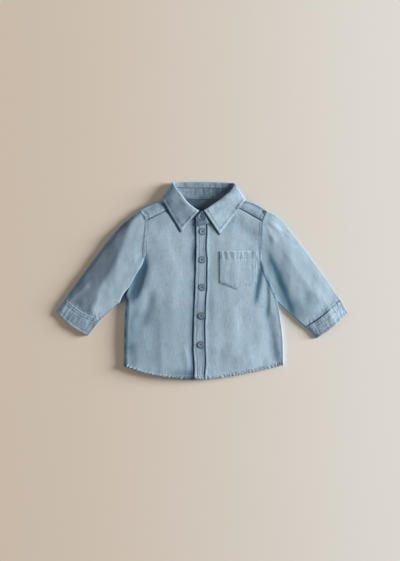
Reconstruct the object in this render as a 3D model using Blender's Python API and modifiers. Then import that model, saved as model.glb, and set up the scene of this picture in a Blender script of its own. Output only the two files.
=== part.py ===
"""An infant's chambray shirt, buttoned up and laid flat on its back.

Sizes are in millimetres and become Blender's metres through MM.
+X is the wearer's left, +Y points to the collar, and z = 0 is the surface it lies on.
Every cloth piece is an open sheet, shaped from its cut edges, with a Solidify wall.
"""
import math

import bmesh
import bpy
import numpy as np

MM = 0.001

# Cloth and how it lies
WALL = 1.6            # body, sleeves, collar and yoke
TRIM_WALL = 1.2       # placket and pocket, sewn on top of the fronts
LAY_GAP = 0.45        # air between two layers that lie on each other
SEAM_GAP = 0.27       # a piece stops this short of its seam line
YOKE_GAP = 0.55       # and the yoke and back this short of the sleeves
NECK_GAP = 1.1        # and body pieces this short of the sloping collar band
GROUND = WALL / 2     # middle of the cloth that rests on the surface
SECOND = GROUND + WALL + 0.4      # middle of a layer that lies straight on it
LOWEST, HIGHEST = SECOND, 5.6     # limits of the upper layer's middle
PUFF = 3.4            # where the upper layer lies when nothing folds it
STACK = WALL + LAY_GAP            # from one layer's middle to the next

# Rolled edges
SIDE_REACH = 9.0      # the fronts fall to the back over this width
HEM_REACH = 7.0
RIM_LEVEL = 2.3       # half height of a sleeve's or cuff's folded edge
RIM_REACH = 6.0
FOLD_BACK = 2.2       # the shoulder's fold stands this far past its flat layers
FOLD_SLANT = 1.3      # which also draw back from the sleeve by this much there

# Hem: the lowest line of the shirt, rising to the sides
HEM_Y = -153.5
HEM = {
    "left": {"width": 127.0, "rise": 21.5, "power": 1.5},
    "right": {"width": 120.0, "rise": 23.0, "power": 3.0},
}

# Cut edges in plan, as (x, y)
YOKE_BACK_Y = 72.0
YOKE_RISE, YOKE_TURN, YOKE_DOWN = 7, 4, 4     # cells up its back, round its fold, down its flap
YOKE_ACROSS, YOKE_MIDDLE = 5, 8               # cells along a shoulder and across the neck
EDGES = {
    "left": {
        "yoke_end": [(100.4, 108.5), (97.0, 101.0), (93.8, 93.3)],
        "armhole": [(93.8, 93.3), (92.6, 60.0), (95.6, 20.0), (106.5, -5.0), (118.4, -30.0)],
        "side": [(127.0, -132.0), (126.0, -92.0), (122.6, -62.0), (117.8, -33.4)],
        "shoulder": [(61.0, 123.2), (70.5, 122.4), (84.0, 118.2)],
        "yoke_seam": [(49.5, 116.5), (61.2, 111.1), (93.8, 93.3)],
        "sleeve_top": [(100.4, 108.5), (120.5, 95.5), (140.3, 72.0), (186.8, 10.0), (215.4, -31.0)],
        "sleeve_under": [(119.4, -31.5), (144.9, -57.5), (162.2, -73.4)],
        "cuff_top": [(215.9, -31.8), (226.9, -51.5)],
        "cuff_under": [(162.8, -74.0), (178.1, -90.5)],
        "wrist": [(215.4, -31.0), (190.0, -54.5), (162.2, -73.4)],
        "cuff_end": [(226.9, -51.5), (203.5, -73.0), (178.1, -90.5)],
    },
    "right": {
        "yoke_end": [(-95.3, 109.6), (-90.5, 101.5), (-86.8, 93.3)],
        "armhole": [(-86.8, 93.3), (-89.8, 60.0), (-92.6, 28.0), (-106.0, 4.0), (-118.4, -28.0)],
        "side": [(-120.0, -130.5), (-120.4, -100.0), (-119.4, -62.0), (-117.0, -31.4)],
        "shoulder": [(-56.5, 122.6), (-64.5, 121.8), (-78.0, 117.8)],
        "yoke_seam": [(-44.5, 113.5), (-55.0, 108.8), (-86.8, 93.3)],
        "sleeve_top": [(-95.3, 109.6), (-124.8, 84.0), (-151.1, 53.0), (-188.3, 3.0), (-211.7, -29.3)],
        "sleeve_under": [(-119.2, -29.0), (-140.3, -46.5), (-157.6, -62.2)],
        "cuff_top": [(-212.4, -30.2), (-225.7, -48.5)],
        "cuff_under": [(-158.2, -63.0), (-176.7, -86.5)],
        "wrist": [(-211.7, -29.3), (-186.0, -49.0), (-157.6, -62.2)],
        "cuff_end": [(-225.7, -48.5), (-203.0, -70.5), (-176.7, -86.5)],
    },
}

# Placket band: free edge over the wearer's right front, sewn edge on the left front
PLACKET_FREE = [(-9.6, 82.8), (-11.0, -15.0), (-13.8, -100.0), (-11.6, -152.6)]
PLACKET_SEWN = [(8.5, 86.6), (6.8, -15.0), (4.6, -98.0), (5.6, -131.0), (3.6, -152.6)]
FRONTS_MEET = 0.78    # share across the placket where the two fronts' edges meet
PLACKET_PUFF = 0.4

POCKET = {"left": 27.4, "right": 84.9, "top": 44.8, "corner": -3.9, "point": -14.3, "point_x": 55.0}

# Buttons: x, y and turn in degrees
BUTTON_RADIUS = 5.3
BUTTON_STAND = (-0.8, 98.7, 20)
BUTTONS = ((1.7, 75.5, 35), (0.9, 31.8, 10), (0.9, -10.9, 50), (-0.2, -55.2, 25), (-0.8, -100.0, 5))
# turned profile: distance from the axis and height, from the dished top round to the flat back
BUTTON_PROFILE = ((0.0, 1.4), (2.8, 1.4), (3.5, 2.2), (4.8, 2.2), (5.3, 1.3), (4.6, 0.0), (0.0, 0.0))
BUTTON_STEPS = 16
HOLE_RADIUS, HOLE_PITCH = 0.6, 1.35

# Largest folds of the upper layer. Each runs from start to end, bowed to its left by bow;
# left and right are its widths on either side, height is up for a ridge and down for a hollow.
FOLD_COLUMNS = ("x0", "y0", "x1", "y1", "bow", "left", "right", "height")
FOLDS = {
    "right_armpit_hollow": (-97, 30, -112, -26, -3, 20, 4, -1.5),
    "right_sleeve_edge": (-99, 24, -122, -26, -3, 3, 7, 1.2),
    "right_body_ridge": (-72, -14, -101, -96, 0, 10, 12, 1.3),
    "right_side_hollow": (-103, -40, -113, -120, 0, 8, 6, -1.2),
    "right_chest": (-60, 60, -42, -60, 6, 16, 16, 0.7),
    "left_armpit_crease": (86, 26, 85, -24, 7, 3, 4, -1.4),
    "left_armpit_valley": (99, 4, 104, -52, 0, 5, 6, -1.2),
    "left_body_ridge": (96, -14, 84, -110, -4, 9, 14, 0.9),
    "left_side_hollow": (111, -78, 119, -128, 0, 7, 6, -1.2),
    "left_hem_fold": (8, -142, 66, -104, -5, 9, 9, 1.0),
    "left_chest": (46, 70, 56, -70, -4, 18, 18, 0.6),
    "right_sleeve_ridge": (-126, 62, -172, -44, 8, 13, 15, 1.6),
    "right_sleeve_crease": (-118, 66, -150, 20, -2, 8, 10, -0.8),
    "left_sleeve_valley": (105, 44, 146, -48, -7, 6, 6, -1.4),
    "left_sleeve_ridge": (118, 68, 176, -18, -6, 13, 16, 1.5),
    "left_sleeve_light": (112, 6, 138, -42, -3, 4, 5, 0.8),
}
FOLD_END = 0.22       # share of its length over which a fold dies away

# Where the collar lies under the yoke, the cloth above it is lifted
LIFT = {"y0": 104.0, "y1": 116.0, "x0": 84.0, "x1": 67.0, "back": 2.05, "front": 1.9}

# Collar stations from the wearer's right leaf round the back to the left leaf. roll is where
# the collar turns over the band, edge its outer edge, turn how far it is wound round the neck
# (0 on top, 90 at the folded side, 180 underneath), tuck how far its seam lies inside the
# roll, and neck the band's lower seam.
COLLAR_COLUMNS = ("roll_x", "roll_y", "roll_z", "edge_x", "edge_y", "turn", "tuck", "neck_x", "neck_y")
COLLAR = {
    "right_tip": (-4.0, 107.7, 6.4, -32.2, 76.3, 0, 1.4, -15.0, 84.6),
    "right_front": (-12.0, 112.6, 8.4, -39.5, 88.8, 0, 1.4, -27.0, 90.8),
    "right_leaf": (-22.6, 121.6, 9.8, -47.0, 101.2, 0, 1.4, -38.6, 102.5),
    "right_top": (-36.2, 139.4, 10.2, -56.6, 118.2, 8, 1.8, -45.6, 120.0),
    "right_fold": (-43.6, 150.2, 6.0, -61.2, 126.6, 90, 4.5, -47.0, 129.8),
    "right_under": (-37.5, 151.2, 2.2, -51.0, 121.4, 172, 7.5, -39.5, 128.2),
    "back_right": (-18.0, 151.7, 1.95, -21.0, 118.8, 180, 8.5, -20.0, 126.6),
    "back": (3.0, 151.9, 1.95, 3.0, 118.2, 180, 8.5, 2.0, 126.0),
    "back_left": (24.0, 151.5, 1.95, 27.0, 118.8, 180, 8.5, 24.0, 126.6),
    "left_under": (43.5, 150.2, 2.2, 56.0, 121.2, 172, 7.5, 44.0, 128.4),
    "left_fold": (51.0, 148.4, 6.0, 68.4, 125.4, 90, 4.5, 52.0, 130.3),
    "left_top": (42.4, 136.4, 10.2, 61.6, 116.2, 8, 1.8, 50.6, 121.0),
    "left_leaf": (28.0, 124.6, 9.8, 49.8, 100.4, 0, 1.4, 41.4, 103.4),
    "left_front": (13.6, 114.4, 8.4, 38.6, 85.6, 0, 1.4, 27.0, 91.9),
    "left_tip": (3.6, 108.2, 6.4, 28.8, 72.4, 0, 1.4, 15.0, 88.4),
}
COLLAR_STEPS = 3      # columns between two stations
ROLL_HALF = 1.15      # half the distance between the collar and the band at the roll
BAND_SHORT = 0.8      # the band stops this short of the collar's seam
BAND_INSIDE = 1.35    # and lies this far inside the roll
ROLL_RUN = 2.6        # from the roll to where the leaf lies level
LEAF_AIR = 0.15       # more air under the leaves than between other layers
LEAF_ROWS = ((0.38, 0.52), (0.7, 0.1), (1.0, 0.0))   # share of the width, share of the height

# Ends of the collar band: lower seam x, y, upper edge x, y, and height
BAND_UNDER_END = ((8.0, 86.8, 8.0, 103.0, 3.35), (1.0, 85.6, 3.0, 105.4, 3.35), (-6.5, 84.3, -1.5, 106.2, 3.4))
BAND_OVER_END = (
    (8.6, 87.3, 4.6, 106.6, 5.7),
    (3.0, 86.1, 1.0, 106.8, 5.9),
    (-3.2, 84.8, -3.2, 104.4, 5.9),
    (-9.3, 83.6, -9.3, 97.0, 5.8),
)

# Colours (linear) and finish
CHAMBRAY = (0.30, 0.40, 0.47, 1.0)
CHAMBRAY_SHADE = (0.21, 0.30, 0.36, 1.0)
CHAMBRAY_TRIM = (0.27, 0.36, 0.43, 1.0)
BUTTON_COLOUR = (0.22, 0.29, 0.34, 1.0)


class Line:
    """A smooth line through a few points in plan, read by the share of its length."""

    def __init__(self, points, dense=False):
        points = np.array(points, float)
        self.points = points if dense else through(points, 16)
        lengths = np.linalg.norm(np.diff(self.points, axis=0), axis=1)
        self.shares = np.concatenate([[0.0], np.cumsum(lengths)]) / lengths.sum()

    def at(self, share):
        return np.array([np.interp(share, self.shares, axis) for axis in self.points.T])

    def beside(self, distance):
        """The same line, moved to the left of its own direction."""
        run = np.gradient(self.points, axis=0)
        run /= np.linalg.norm(run, axis=1)[:, None]
        return Line(self.points + distance * np.stack([-run[:, 1], run[:, 0]], axis=1), dense=True)

    def then(self, other):
        return Line(np.vstack([self.points, other.points[1:]]), dense=True)

    def back(self):
        return Line(self.points[::-1], dense=True)

    def part(self, start, end):
        return Line([self.at(share) for share in np.linspace(start, end, 49)], dense=True)

    def share_at_y(self, y):
        order = np.argsort(self.points[:, 1])
        return float(np.interp(y, self.points[order, 1], self.shares[order]))


def through(rows, steps):
    """Catmull-Rom through rows of numbers, with the given steps between two rows."""
    rows = np.array(rows, float)
    padded = np.vstack([2 * rows[0] - rows[1], rows, 2 * rows[-1] - rows[-2]])
    out = []
    for a, b, c, d in zip(padded, padded[1:], padded[2:], padded[3:]):
        for t in np.linspace(0.0, 1.0, steps, endpoint=False):
            bend = (2 * a - 5 * b + 4 * c - d) * t * t + (3 * b - a - 3 * c + d) * t ** 3
            out.append(0.5 * (2 * b + (c - a) * t + bend))
    out.append(rows[-1])
    return np.array(out)


def smooth(value, low, high):
    """0 below low and 1 above high, with a soft step between; low may be the greater."""
    t = min(1.0, max(0.0, (value - low) / (high - low)))
    return t * t * (3.0 - 2.0 * t)


def roundness(distance, reach):
    """Height share of a rolled edge: 0 at the edge, 1 from reach inwards."""
    t = 1.0 - min(1.0, max(0.0, distance / reach))
    return math.sqrt(1.0 - t * t)


def denser_ends(count, strength):
    """Shares from 0 to 1 that stand closer together near both ends."""
    steps = np.linspace(0.0, 1.0, count + 1)
    return steps - strength * np.sin(2 * math.pi * steps) / (2 * math.pi)


def fold_height(x, y, fold):
    f = dict(zip(FOLD_COLUMNS, fold))
    run = math.hypot(f["x1"] - f["x0"], f["y1"] - f["y0"])
    ax = (f["x1"] - f["x0"]) / run
    ay = (f["y1"] - f["y0"]) / run
    along = ((x - f["x0"]) * ax + (y - f["y0"]) * ay) / run
    across = (y - f["y0"]) * ax - (x - f["x0"]) * ay
    held = min(1.0, max(0.0, along))
    across -= f["bow"] * 4.0 * held * (1.0 - held)
    width = f["left"] if across > 0 else f["right"]
    ends = smooth(along, -FOLD_END, FOLD_END) * smooth(1.0 - along, -FOLD_END, FOLD_END)
    return f["height"] * ends * math.exp(-0.5 * (across / width) ** 2)


def lift(x, y):
    """1 where the collar lies underneath, 0 well away from it."""
    return smooth(y, LIFT["y0"], LIFT["y1"]) * smooth(abs(x), LIFT["x0"], LIFT["x1"])


def lie(x, y):
    """Middle of the upper layer of cloth at a place in plan."""
    height = PUFF + sum(fold_height(x, y, fold) for fold in FOLDS.values())
    middle = (LOWEST + HIGHEST) / 2
    spread = (HIGHEST - LOWEST) / 2
    return middle + spread * math.tanh((height - middle) / spread) + LIFT["front"] * lift(x, y)


def coons(bottom, top, inner, outer, u, v):
    """Place in plan between four cut edges: u from inner to outer, v from bottom to top."""
    ruled = (1 - v) * bottom.at(u) + v * top.at(u) + (1 - u) * inner.at(v) + u * outer.at(v)
    low = (1 - u) * bottom.at(0) + u * bottom.at(1)
    high = (1 - u) * top.at(0) + u * top.at(1)
    return ruled - (1 - v) * low - v * high


def clear_scene():
    for obj in list(bpy.data.objects):
        bpy.data.objects.remove(obj, do_unlink=True)


def collection(name):
    made = bpy.data.collections.new(name)
    bpy.context.scene.collection.children.link(made)
    return made


def material(name, colour, roughness):
    made = bpy.data.materials.new(name)
    made.use_nodes = True
    shader = made.node_tree.nodes["Principled BSDF"]
    shader.inputs["Base Color"].default_value = colour
    shader.inputs["Roughness"].default_value = roughness
    shader.inputs["Metallic"].default_value = 0.0
    made.diffuse_color = colour
    return made


def add_sheet(mesh, columns, rows, place):
    """Add a grid of columns by rows cells, each corner put where place(column, row) says."""
    made = bmesh.ops.create_grid(mesh, x_segments=columns, y_segments=rows, size=1.0)
    for vertex in made["verts"]:
        column = round((vertex.co.x + 1.0) / 2.0 * columns)
        row = round((vertex.co.y + 1.0) / 2.0 * rows)
        vertex.co = np.array(place(column, row), float) * MM


def cloth(name, sheets, colour, wall=WALL):
    """One cloth piece: its sheets joined where they meet, with a wall to both sides."""
    mesh = bmesh.new()
    for columns, rows, place in sheets:
        add_sheet(mesh, columns, rows, place)
    bmesh.ops.remove_doubles(mesh, verts=mesh.verts, dist=0.01 * MM)
    bmesh.ops.recalc_face_normals(mesh, faces=mesh.faces)
    data = bpy.data.meshes.new(name)
    mesh.to_mesh(data)
    mesh.free()
    data.shade_smooth()
    data.materials.append(material(name + "_cloth", colour, 0.9))
    obj = bpy.data.objects.new(name, data)
    SHIRT.objects.link(obj)
    solidify = obj.modifiers.new("wall", "SOLIDIFY")
    solidify.thickness = wall * MM
    solidify.offset = 0.0
    return obj


def edge(side, name, gap=0.0):
    return Line(EDGES[side][name]).beside(gap)


def inwards(side):
    """Sign that moves a line running up or out towards the body's middle on this side."""
    return 1.0 if side == "left" else -1.0


def placket_at(across, share):
    free = Line(PLACKET_FREE).at(share)
    sewn = Line(PLACKET_SEWN).at(share)
    return free + across * (sewn - free)


def hem_y(side, x):
    hem = HEM[side]
    return HEM_Y + hem["rise"] * (abs(x) / hem["width"]) ** hem["power"]


def hem_line(side, from_x):
    to_x = EDGES[side]["side"][0][0]
    return Line([(x, hem_y(side, x)) for x in np.linspace(from_x, to_x, 9)])


def armhole_and_side(side, armhole, gap=SEAM_GAP):
    """Outer edge of a body panel, from the hem corner up to the top of its armhole."""
    return edge(side, "side").then(armhole.part(0.0, 0.98).back().beside(inwards(side) * gap))


def neckline(side):
    """Lower seam of the collar band on one side, from the closure up to the shoulder fold."""
    names = [name for name in COLLAR if name.startswith(side)]
    if side == "left":
        names.reverse()
    rows = [dict(zip(COLLAR_COLUMNS, COLLAR[name])) for name in names[:5]]
    closure = BAND_OVER_END[:1] if side == "left" else BAND_UNDER_END[1:]
    return Line([row[:2] for row in closure] + [(row["neck_x"], row["neck_y"]) for row in rows])


def front(side):
    columns, rows = 15, 20
    sign = inwards(side)
    meet = Line([placket_at(FRONTS_MEET, share) for share in np.linspace(1.0, 0.0, 9)])
    inner = meet.beside(-sign * SEAM_GAP)
    foot = inner.at(0.0)
    bottom = hem_line(side, foot[0])
    neck = neckline(side)
    neck = neck.part(0.0, neck.share_at_y(EDGES[side]["yoke_seam"][0][1])).beside(-sign * NECK_GAP)
    top = Line([inner.at(1.0)] + list(neck.points[1:]), dense=True)
    top = top.then(edge(side, "yoke_seam", -sign * SEAM_GAP))
    outer = armhole_and_side(side, edge(side, "armhole"))
    corner = outer.share_at_y(EDGES[side]["side"][-1][1])
    us = denser_ends(columns, 0.55)
    vs = denser_ends(rows, 0.3)

    def place(column, row):
        u, v = us[column], vs[row]
        x, y = coons(bottom, top, inner, outer, u, v)
        side_x, side_y = coons(bottom, top, inner, outer, 1.0, v)
        sewn_side = smooth(v, corner + 0.06, corner - 0.02)
        from_side = math.hypot(x - side_x, y - side_y)
        from_hem = y - hem_y(side, x)
        z = lie(x, y)
        z -= (z - SECOND) * sewn_side * (1.0 - roundness(from_side, SIDE_REACH))
        z -= (z - SECOND) * 0.8 * (1.0 - roundness(from_hem, HEM_REACH))
        return x, y, z

    return cloth("front_" + side, [(columns, rows, place)], CHAMBRAY)


def back_panel():
    columns, rows = 10, 18
    outers = {}
    for side in ("left", "right"):
        armhole = edge(side, "armhole")
        lower = armhole.part(armhole.share_at_y(YOKE_BACK_Y - 2 * SEAM_GAP), 1.0)
        outers[side] = armhole_and_side(side, lower, YOKE_GAP)
    left_x = EDGES["left"]["side"][0][0]
    right_x = EDGES["right"]["side"][0][0]
    hem = [(x, hem_y("left" if x > 0 else "right", x)) for x in np.linspace(right_x, left_x, 17)]
    bottom = Line(hem)
    top = Line([outers["right"].at(1.0), outers["left"].at(1.0)])

    def place(column, row):
        x, y = coons(bottom, top, outers["right"], outers["left"], column / columns, row / rows)
        return x, y, GROUND

    return cloth("back", [(columns, rows, place)], CHAMBRAY_SHADE)


def under_collar(x, y):
    """Middle of the yoke's back sheet, lifted where the collar lies below it."""
    return GROUND + LIFT["back"] * lift(x, y)


def shoulder_sheets(side, neck_end):
    """One shoulder of the yoke: its part of the back sheet, the turned fold and the front flap."""
    sign = inwards(side)
    seam_start = EDGES[side]["yoke_seam"][0][1]
    armhole = edge(side, "yoke_end").then(edge(side, "armhole")).beside(-sign * YOKE_GAP)
    armhole_under = armhole.part(0.0, armhole.share_at_y(YOKE_BACK_Y)).back()
    armhole_over = armhole.part(0.0, armhole.share_at_y(EDGES[side]["yoke_seam"][-1][1] + YOKE_GAP))
    fold = Line([neck_end] + EDGES[side]["shoulder"] + [armhole.at(0.0)])
    low = Line([(neck_end[0], YOKE_BACK_Y), armhole_under.at(0.0)])
    neck_under = Line([(neck_end[0], YOKE_BACK_Y), neck_end])
    neck = neckline(side)
    neck = neck.part(neck.share_at_y(seam_start + YOKE_GAP), 0.97).beside(-sign * NECK_GAP)
    neck_over = Line([neck_end] + list(neck.points[::-1]), dense=True)
    seam = edge(side, "yoke_seam", sign * YOKE_GAP)
    seam = Line([neck_over.at(1.0)] + list(seam.points[2:]), dense=True)

    def set_back(x, y, share, out):
        return x - sign * FOLD_SLANT * share * out, y - FOLD_BACK * share

    def under(column, row):
        out, up = column / YOKE_ACROSS, row / YOKE_RISE
        x, y = coons(low, fold, neck_under, armhole_under, out, up)
        x, y = set_back(x, y, up ** 2, out)
        return x, y, under_collar(x, y)

    def turned(column, row):
        out = column / YOKE_ACROSS
        x, y = fold.at(out)
        flat = set_back(x, y, 1.0, out)
        low_z, high_z = under_collar(*flat), lie(*flat)
        angle = math.pi * row / YOKE_TURN
        x, y = set_back(x, y, 1.0 - math.sin(angle), out)
        return x, y, (low_z + high_z) / 2 - math.cos(angle) * (high_z - low_z) / 2

    def over(column, row):
        out, down = column / YOKE_ACROSS, row / YOKE_DOWN
        x, y = coons(fold, seam, neck_over, armhole_over, out, down)
        x, y = set_back(x, y, (1.0 - down) ** 2, out)
        return x, y, lie(x, y)

    return [
        (YOKE_ACROSS, YOKE_RISE, under),
        (YOKE_ACROSS, YOKE_TURN, turned),
        (YOKE_ACROSS, YOKE_DOWN, over),
    ]


def yoke():
    """Back sheet below, turned over both shoulders into a flap on each front."""
    stations = [dict(zip(COLLAR_COLUMNS, row)) for row in COLLAR.values()]
    points = [(s["neck_x"], s["neck_y"] - NECK_GAP) for s in stations if s["turn"] > 45]
    points[0] = (points[0][0] - NECK_GAP, points[0][1])
    points[-1] = (points[-1][0] + NECK_GAP, points[-1][1])
    neck = Line(points)
    right_end, left_end = neck.at(0.0), neck.at(1.0)
    low = Line([(right_end[0], YOKE_BACK_Y), (left_end[0], YOKE_BACK_Y)])
    inner = Line([(right_end[0], YOKE_BACK_Y), right_end])
    outer = Line([(left_end[0], YOKE_BACK_Y), left_end])

    def middle(column, row):
        x, y = coons(low, neck, inner, outer, column / YOKE_MIDDLE, row / YOKE_RISE)
        if column in (0, YOKE_MIDDLE):
            y -= FOLD_BACK * (row / YOKE_RISE) ** 2
        return x, y, under_collar(x, y)

    sheets = [(YOKE_MIDDLE, YOKE_RISE, middle)]
    sheets += shoulder_sheets("left", left_end) + shoulder_sheets("right", right_end)
    return cloth("yoke", sheets, CHAMBRAY_SHADE)


def tube(name, top, under, start, end, rings, level, colour):
    """A flattened tube of cloth: start and end run from its top edge to its under edge."""
    over = [0.0, 0.016, 0.05, 0.11, 0.2, 0.32, 0.45, 0.58, 0.7, 0.81, 0.9, 0.955, 0.986, 1.0]
    below = [0.97, 0.9, 0.7, 0.5, 0.3, 0.1, 0.03]
    path = [(v, True) for v in over] + [(v, False) for v in below]
    around = len(path)

    def place(column, row):
        v, above = path[column % around]
        u = rings[row]
        x, y = coons(start, end, top, under, v, u)
        edges = [coons(start, end, top, under, side, u) for side in (0.0, 1.0)]
        distance = min(math.hypot(x - ex, y - ey) for ex, ey in edges)
        share = roundness(distance, RIM_REACH)
        goal = level(x, y) if above else GROUND
        return x, y, RIM_LEVEL + (goal - RIM_LEVEL) * share

    return cloth(name, [(around, len(rings) - 1, place)], colour)


def sleeve(side):
    sign = inwards(side)
    start = edge(side, "yoke_end").then(edge(side, "armhole")).beside(sign * SEAM_GAP)
    end = edge(side, "wrist", -sign * SEAM_GAP)
    top = Line([start.at(0.0)] + EDGES[side]["sleeve_top"][1:])
    under = edge(side, "sleeve_under")
    rings = denser_ends(13, 0.25)
    return tube("sleeve_" + side, top, under, start, end, rings, lie, CHAMBRAY)


def cuff(side):
    sign = inwards(side)
    start = edge(side, "wrist", sign * SEAM_GAP)
    end = edge(side, "cuff_end")
    top = edge(side, "cuff_top")
    under = edge(side, "cuff_under")

    def level(x, y):
        return PUFF + 0.5

    return tube("cuff_" + side, top, under, start, end, [0.0, 0.5, 1.0], level, CHAMBRAY)


def placket_height(x, y, across):
    crown = PLACKET_PUFF * math.sin(math.pi * min(1.0, max(0.0, across)))
    return lie(x, y) + (WALL + TRIM_WALL) / 2 + LAY_GAP + crown


def placket():
    columns, rows = 3, 22

    def place(column, row):
        across = column / columns
        x, y = placket_at(across, row / rows)
        return x, y, placket_height(x, y, across)

    return cloth("placket", [(columns, rows, place)], CHAMBRAY_TRIM, TRIM_WALL)


def pocket():
    columns, rows = 8, 7
    p = POCKET

    def place(column, row):
        x = p["left"] + (p["right"] - p["left"]) * column / columns
        reach = abs(x - p["point_x"])
        side_reach = (p["right"] - p["point_x"]) if x > p["point_x"] else (p["point_x"] - p["left"])
        bottom = p["point"] + (p["corner"] - p["point"]) * reach / side_reach
        y = bottom + (p["top"] - bottom) * row / rows
        return x, y, lie(x, y) + (WALL + TRIM_WALL) / 2 + LAY_GAP

    return cloth("pocket", [(columns, rows, place)], CHAMBRAY_TRIM, TRIM_WALL)


def collar_stations():
    """Collar rows between the named stations, as dictionaries of named columns."""
    rows = through([COLLAR[name] for name in COLLAR], COLLAR_STEPS)
    return [dict(zip(COLLAR_COLUMNS, row)) for row in rows]


def collar_frame(station, side):
    """At one station: roll point, direction across the leaf, and the leaf's outer side."""
    roll = np.array([station["roll_x"], station["roll_y"], station["roll_z"]])
    reach = np.array([station["edge_x"] - roll[0], station["edge_y"] - roll[1], 0.0])
    width = np.linalg.norm(reach)
    direction = reach / width
    outward = np.array([direction[1], -direction[0], 0.0])
    if outward[0] * side < 0:
        outward = -outward
    turn = math.radians(min(180.0, max(0.0, station["turn"])))
    outer = np.array([0.0, 0.0, math.cos(turn)]) + math.sin(turn) * outward
    return roll, direction, outer, width, turn


def collar_section(station, side):
    """Points across the collar, from its seam over the roll to its outer edge."""
    roll, direction, outer, width, turn = collar_frame(station, side)
    seam = roll + station["tuck"] * direction - ROLL_HALF * outer
    knee = roll + ROLL_RUN * direction + ROLL_HALF * outer
    on_top = (1.0 + math.cos(turn)) / 2
    edge_xy = np.array([station["edge_x"], station["edge_y"]])
    edge_z = on_top * (lie(*edge_xy) + STACK + LEAF_AIR) + (1.0 - on_top) * GROUND
    knee[2] = max(knee[2], GROUND)
    points = [seam, roll, knee]
    for share, height in LEAF_ROWS:
        x, y = knee[:2] + share * (edge_xy - knee[:2])
        z = edge_z + (knee[2] - edge_z) * height
        if on_top > 0.8:
            z = max(z, lie(x, y) + STACK + LEAF_AIR)
        points.append(np.array([x, y, max(z, GROUND)]))
    return points


def collar():
    stations = collar_stations()
    half = len(stations) // 2
    sections = [collar_section(s, -1 if i < half else 1) for i, s in enumerate(stations)]
    rows = len(sections[0]) - 1
    return cloth(
        "collar",
        [(len(sections) - 1, rows, lambda column, row: sections[column][row])],
        CHAMBRAY,
    )


def band_rails():
    """Lower seam and upper edge of the collar band, from its covered end to its free end."""
    lower, upper = [], []
    for x0, y0, x1, y1, z in BAND_UNDER_END:
        lower.append((x0, y0, z))
        upper.append((x1, y1, z))
    names = list(COLLAR)
    for i, name in enumerate(names):
        station = dict(zip(COLLAR_COLUMNS, COLLAR[name]))
        roll, direction, outer, width, turn = collar_frame(station, -1 if i < len(names) // 2 else 1)
        on_top = (1.0 + math.cos(turn)) / 2
        neck_z = on_top * lie(station["neck_x"], station["neck_y"]) + (1.0 - on_top) * (GROUND + STACK)
        lower.append((station["neck_x"], station["neck_y"], neck_z))
        upper.append(roll + (station["tuck"] + BAND_SHORT) * direction - BAND_INSIDE * outer)
    for x0, y0, x1, y1, z in BAND_OVER_END:
        lower.append((x0, y0, z))
        upper.append((x1, y1, z))
    return through(lower, COLLAR_STEPS), through(upper, COLLAR_STEPS)


def collar_stand():
    lower, upper = band_rails()
    rows = 3

    def place(column, row):
        return lower[column] + (upper[column] - lower[column]) * row / rows

    return cloth("collar_stand", [(len(lower) - 1, rows, place)], CHAMBRAY_SHADE)


def hole_cutter(name, x, y):
    mesh = bmesh.new()
    bmesh.ops.create_cone(
        mesh, cap_ends=True, segments=8, radius1=HOLE_RADIUS * MM, radius2=HOLE_RADIUS * MM, depth=8 * MM
    )
    data = bpy.data.meshes.new(name)
    mesh.to_mesh(data)
    mesh.free()
    obj = bpy.data.objects.new(name, data)
    CUTTERS.objects.link(obj)
    obj.location = (x * MM, y * MM, 0.0)
    obj.hide_render = True
    obj.display_type = "WIRE"
    return obj


def button_mesh():
    """Turned disc with a rim and a dished middle; the holes are cut on each button."""
    data = bpy.data.meshes.new("button_profile")
    points = [(r * MM, 0.0, z * MM) for r, z in BUTTON_PROFILE]
    data.from_pydata(points, [(i, i + 1) for i in range(len(points) - 1)], [])
    data.materials.append(material("button_plastic", BUTTON_COLOUR, 0.45))
    return data


def button(name, data, x, y, z, turn):
    obj = bpy.data.objects.new(name, data)
    SHIRT.objects.link(obj)
    obj.location = (x * MM, y * MM, z * MM)
    obj.rotation_euler = (0.0, 0.0, math.radians(turn))
    screw = obj.modifiers.new("turned", "SCREW")
    screw.steps = BUTTON_STEPS
    screw.render_steps = BUTTON_STEPS
    screw.use_merge_vertices = True
    screw.merge_threshold = 0.0001
    for corner in range(4):
        angle = math.radians(turn + 45 + 90 * corner)
        reach = HOLE_PITCH * math.sqrt(2)
        cut = hole_cutter(
            name + "_hole_" + str(corner + 1), x + reach * math.cos(angle), y + reach * math.sin(angle)
        )
        cut.location.z = z * MM
        hole = obj.modifiers.new("hole", "BOOLEAN")
        hole.operation = "DIFFERENCE"
        hole.solver = "EXACT"
        hole.object = cut
    return obj


def buttons():
    data = button_mesh()
    x, y, turn = BUTTON_STAND
    band_top = BAND_OVER_END[1][4] + WALL / 2
    button("button_stand", data, x, y, band_top + 0.3, turn)
    for number, (x, y, turn) in enumerate(BUTTONS, start=1):
        placket_top = placket_height(x, y, 0.5) + TRIM_WALL / 2
        button("button_" + str(number), data, x, y, placket_top + 0.3, turn)


clear_scene()
SHIRT = collection("chambray_shirt")
CUTTERS = collection("cutters")
back_panel()
yoke()
for wearer_side in ("left", "right"):
    front(wearer_side)
    sleeve(wearer_side)
    cuff(wearer_side)
placket()
pocket()
collar_stand()
collar()
buttons()
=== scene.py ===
import math

import bmesh
import bpy
import numpy as np
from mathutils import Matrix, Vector
from mathutils.bvhtree import BVHTree


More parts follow.
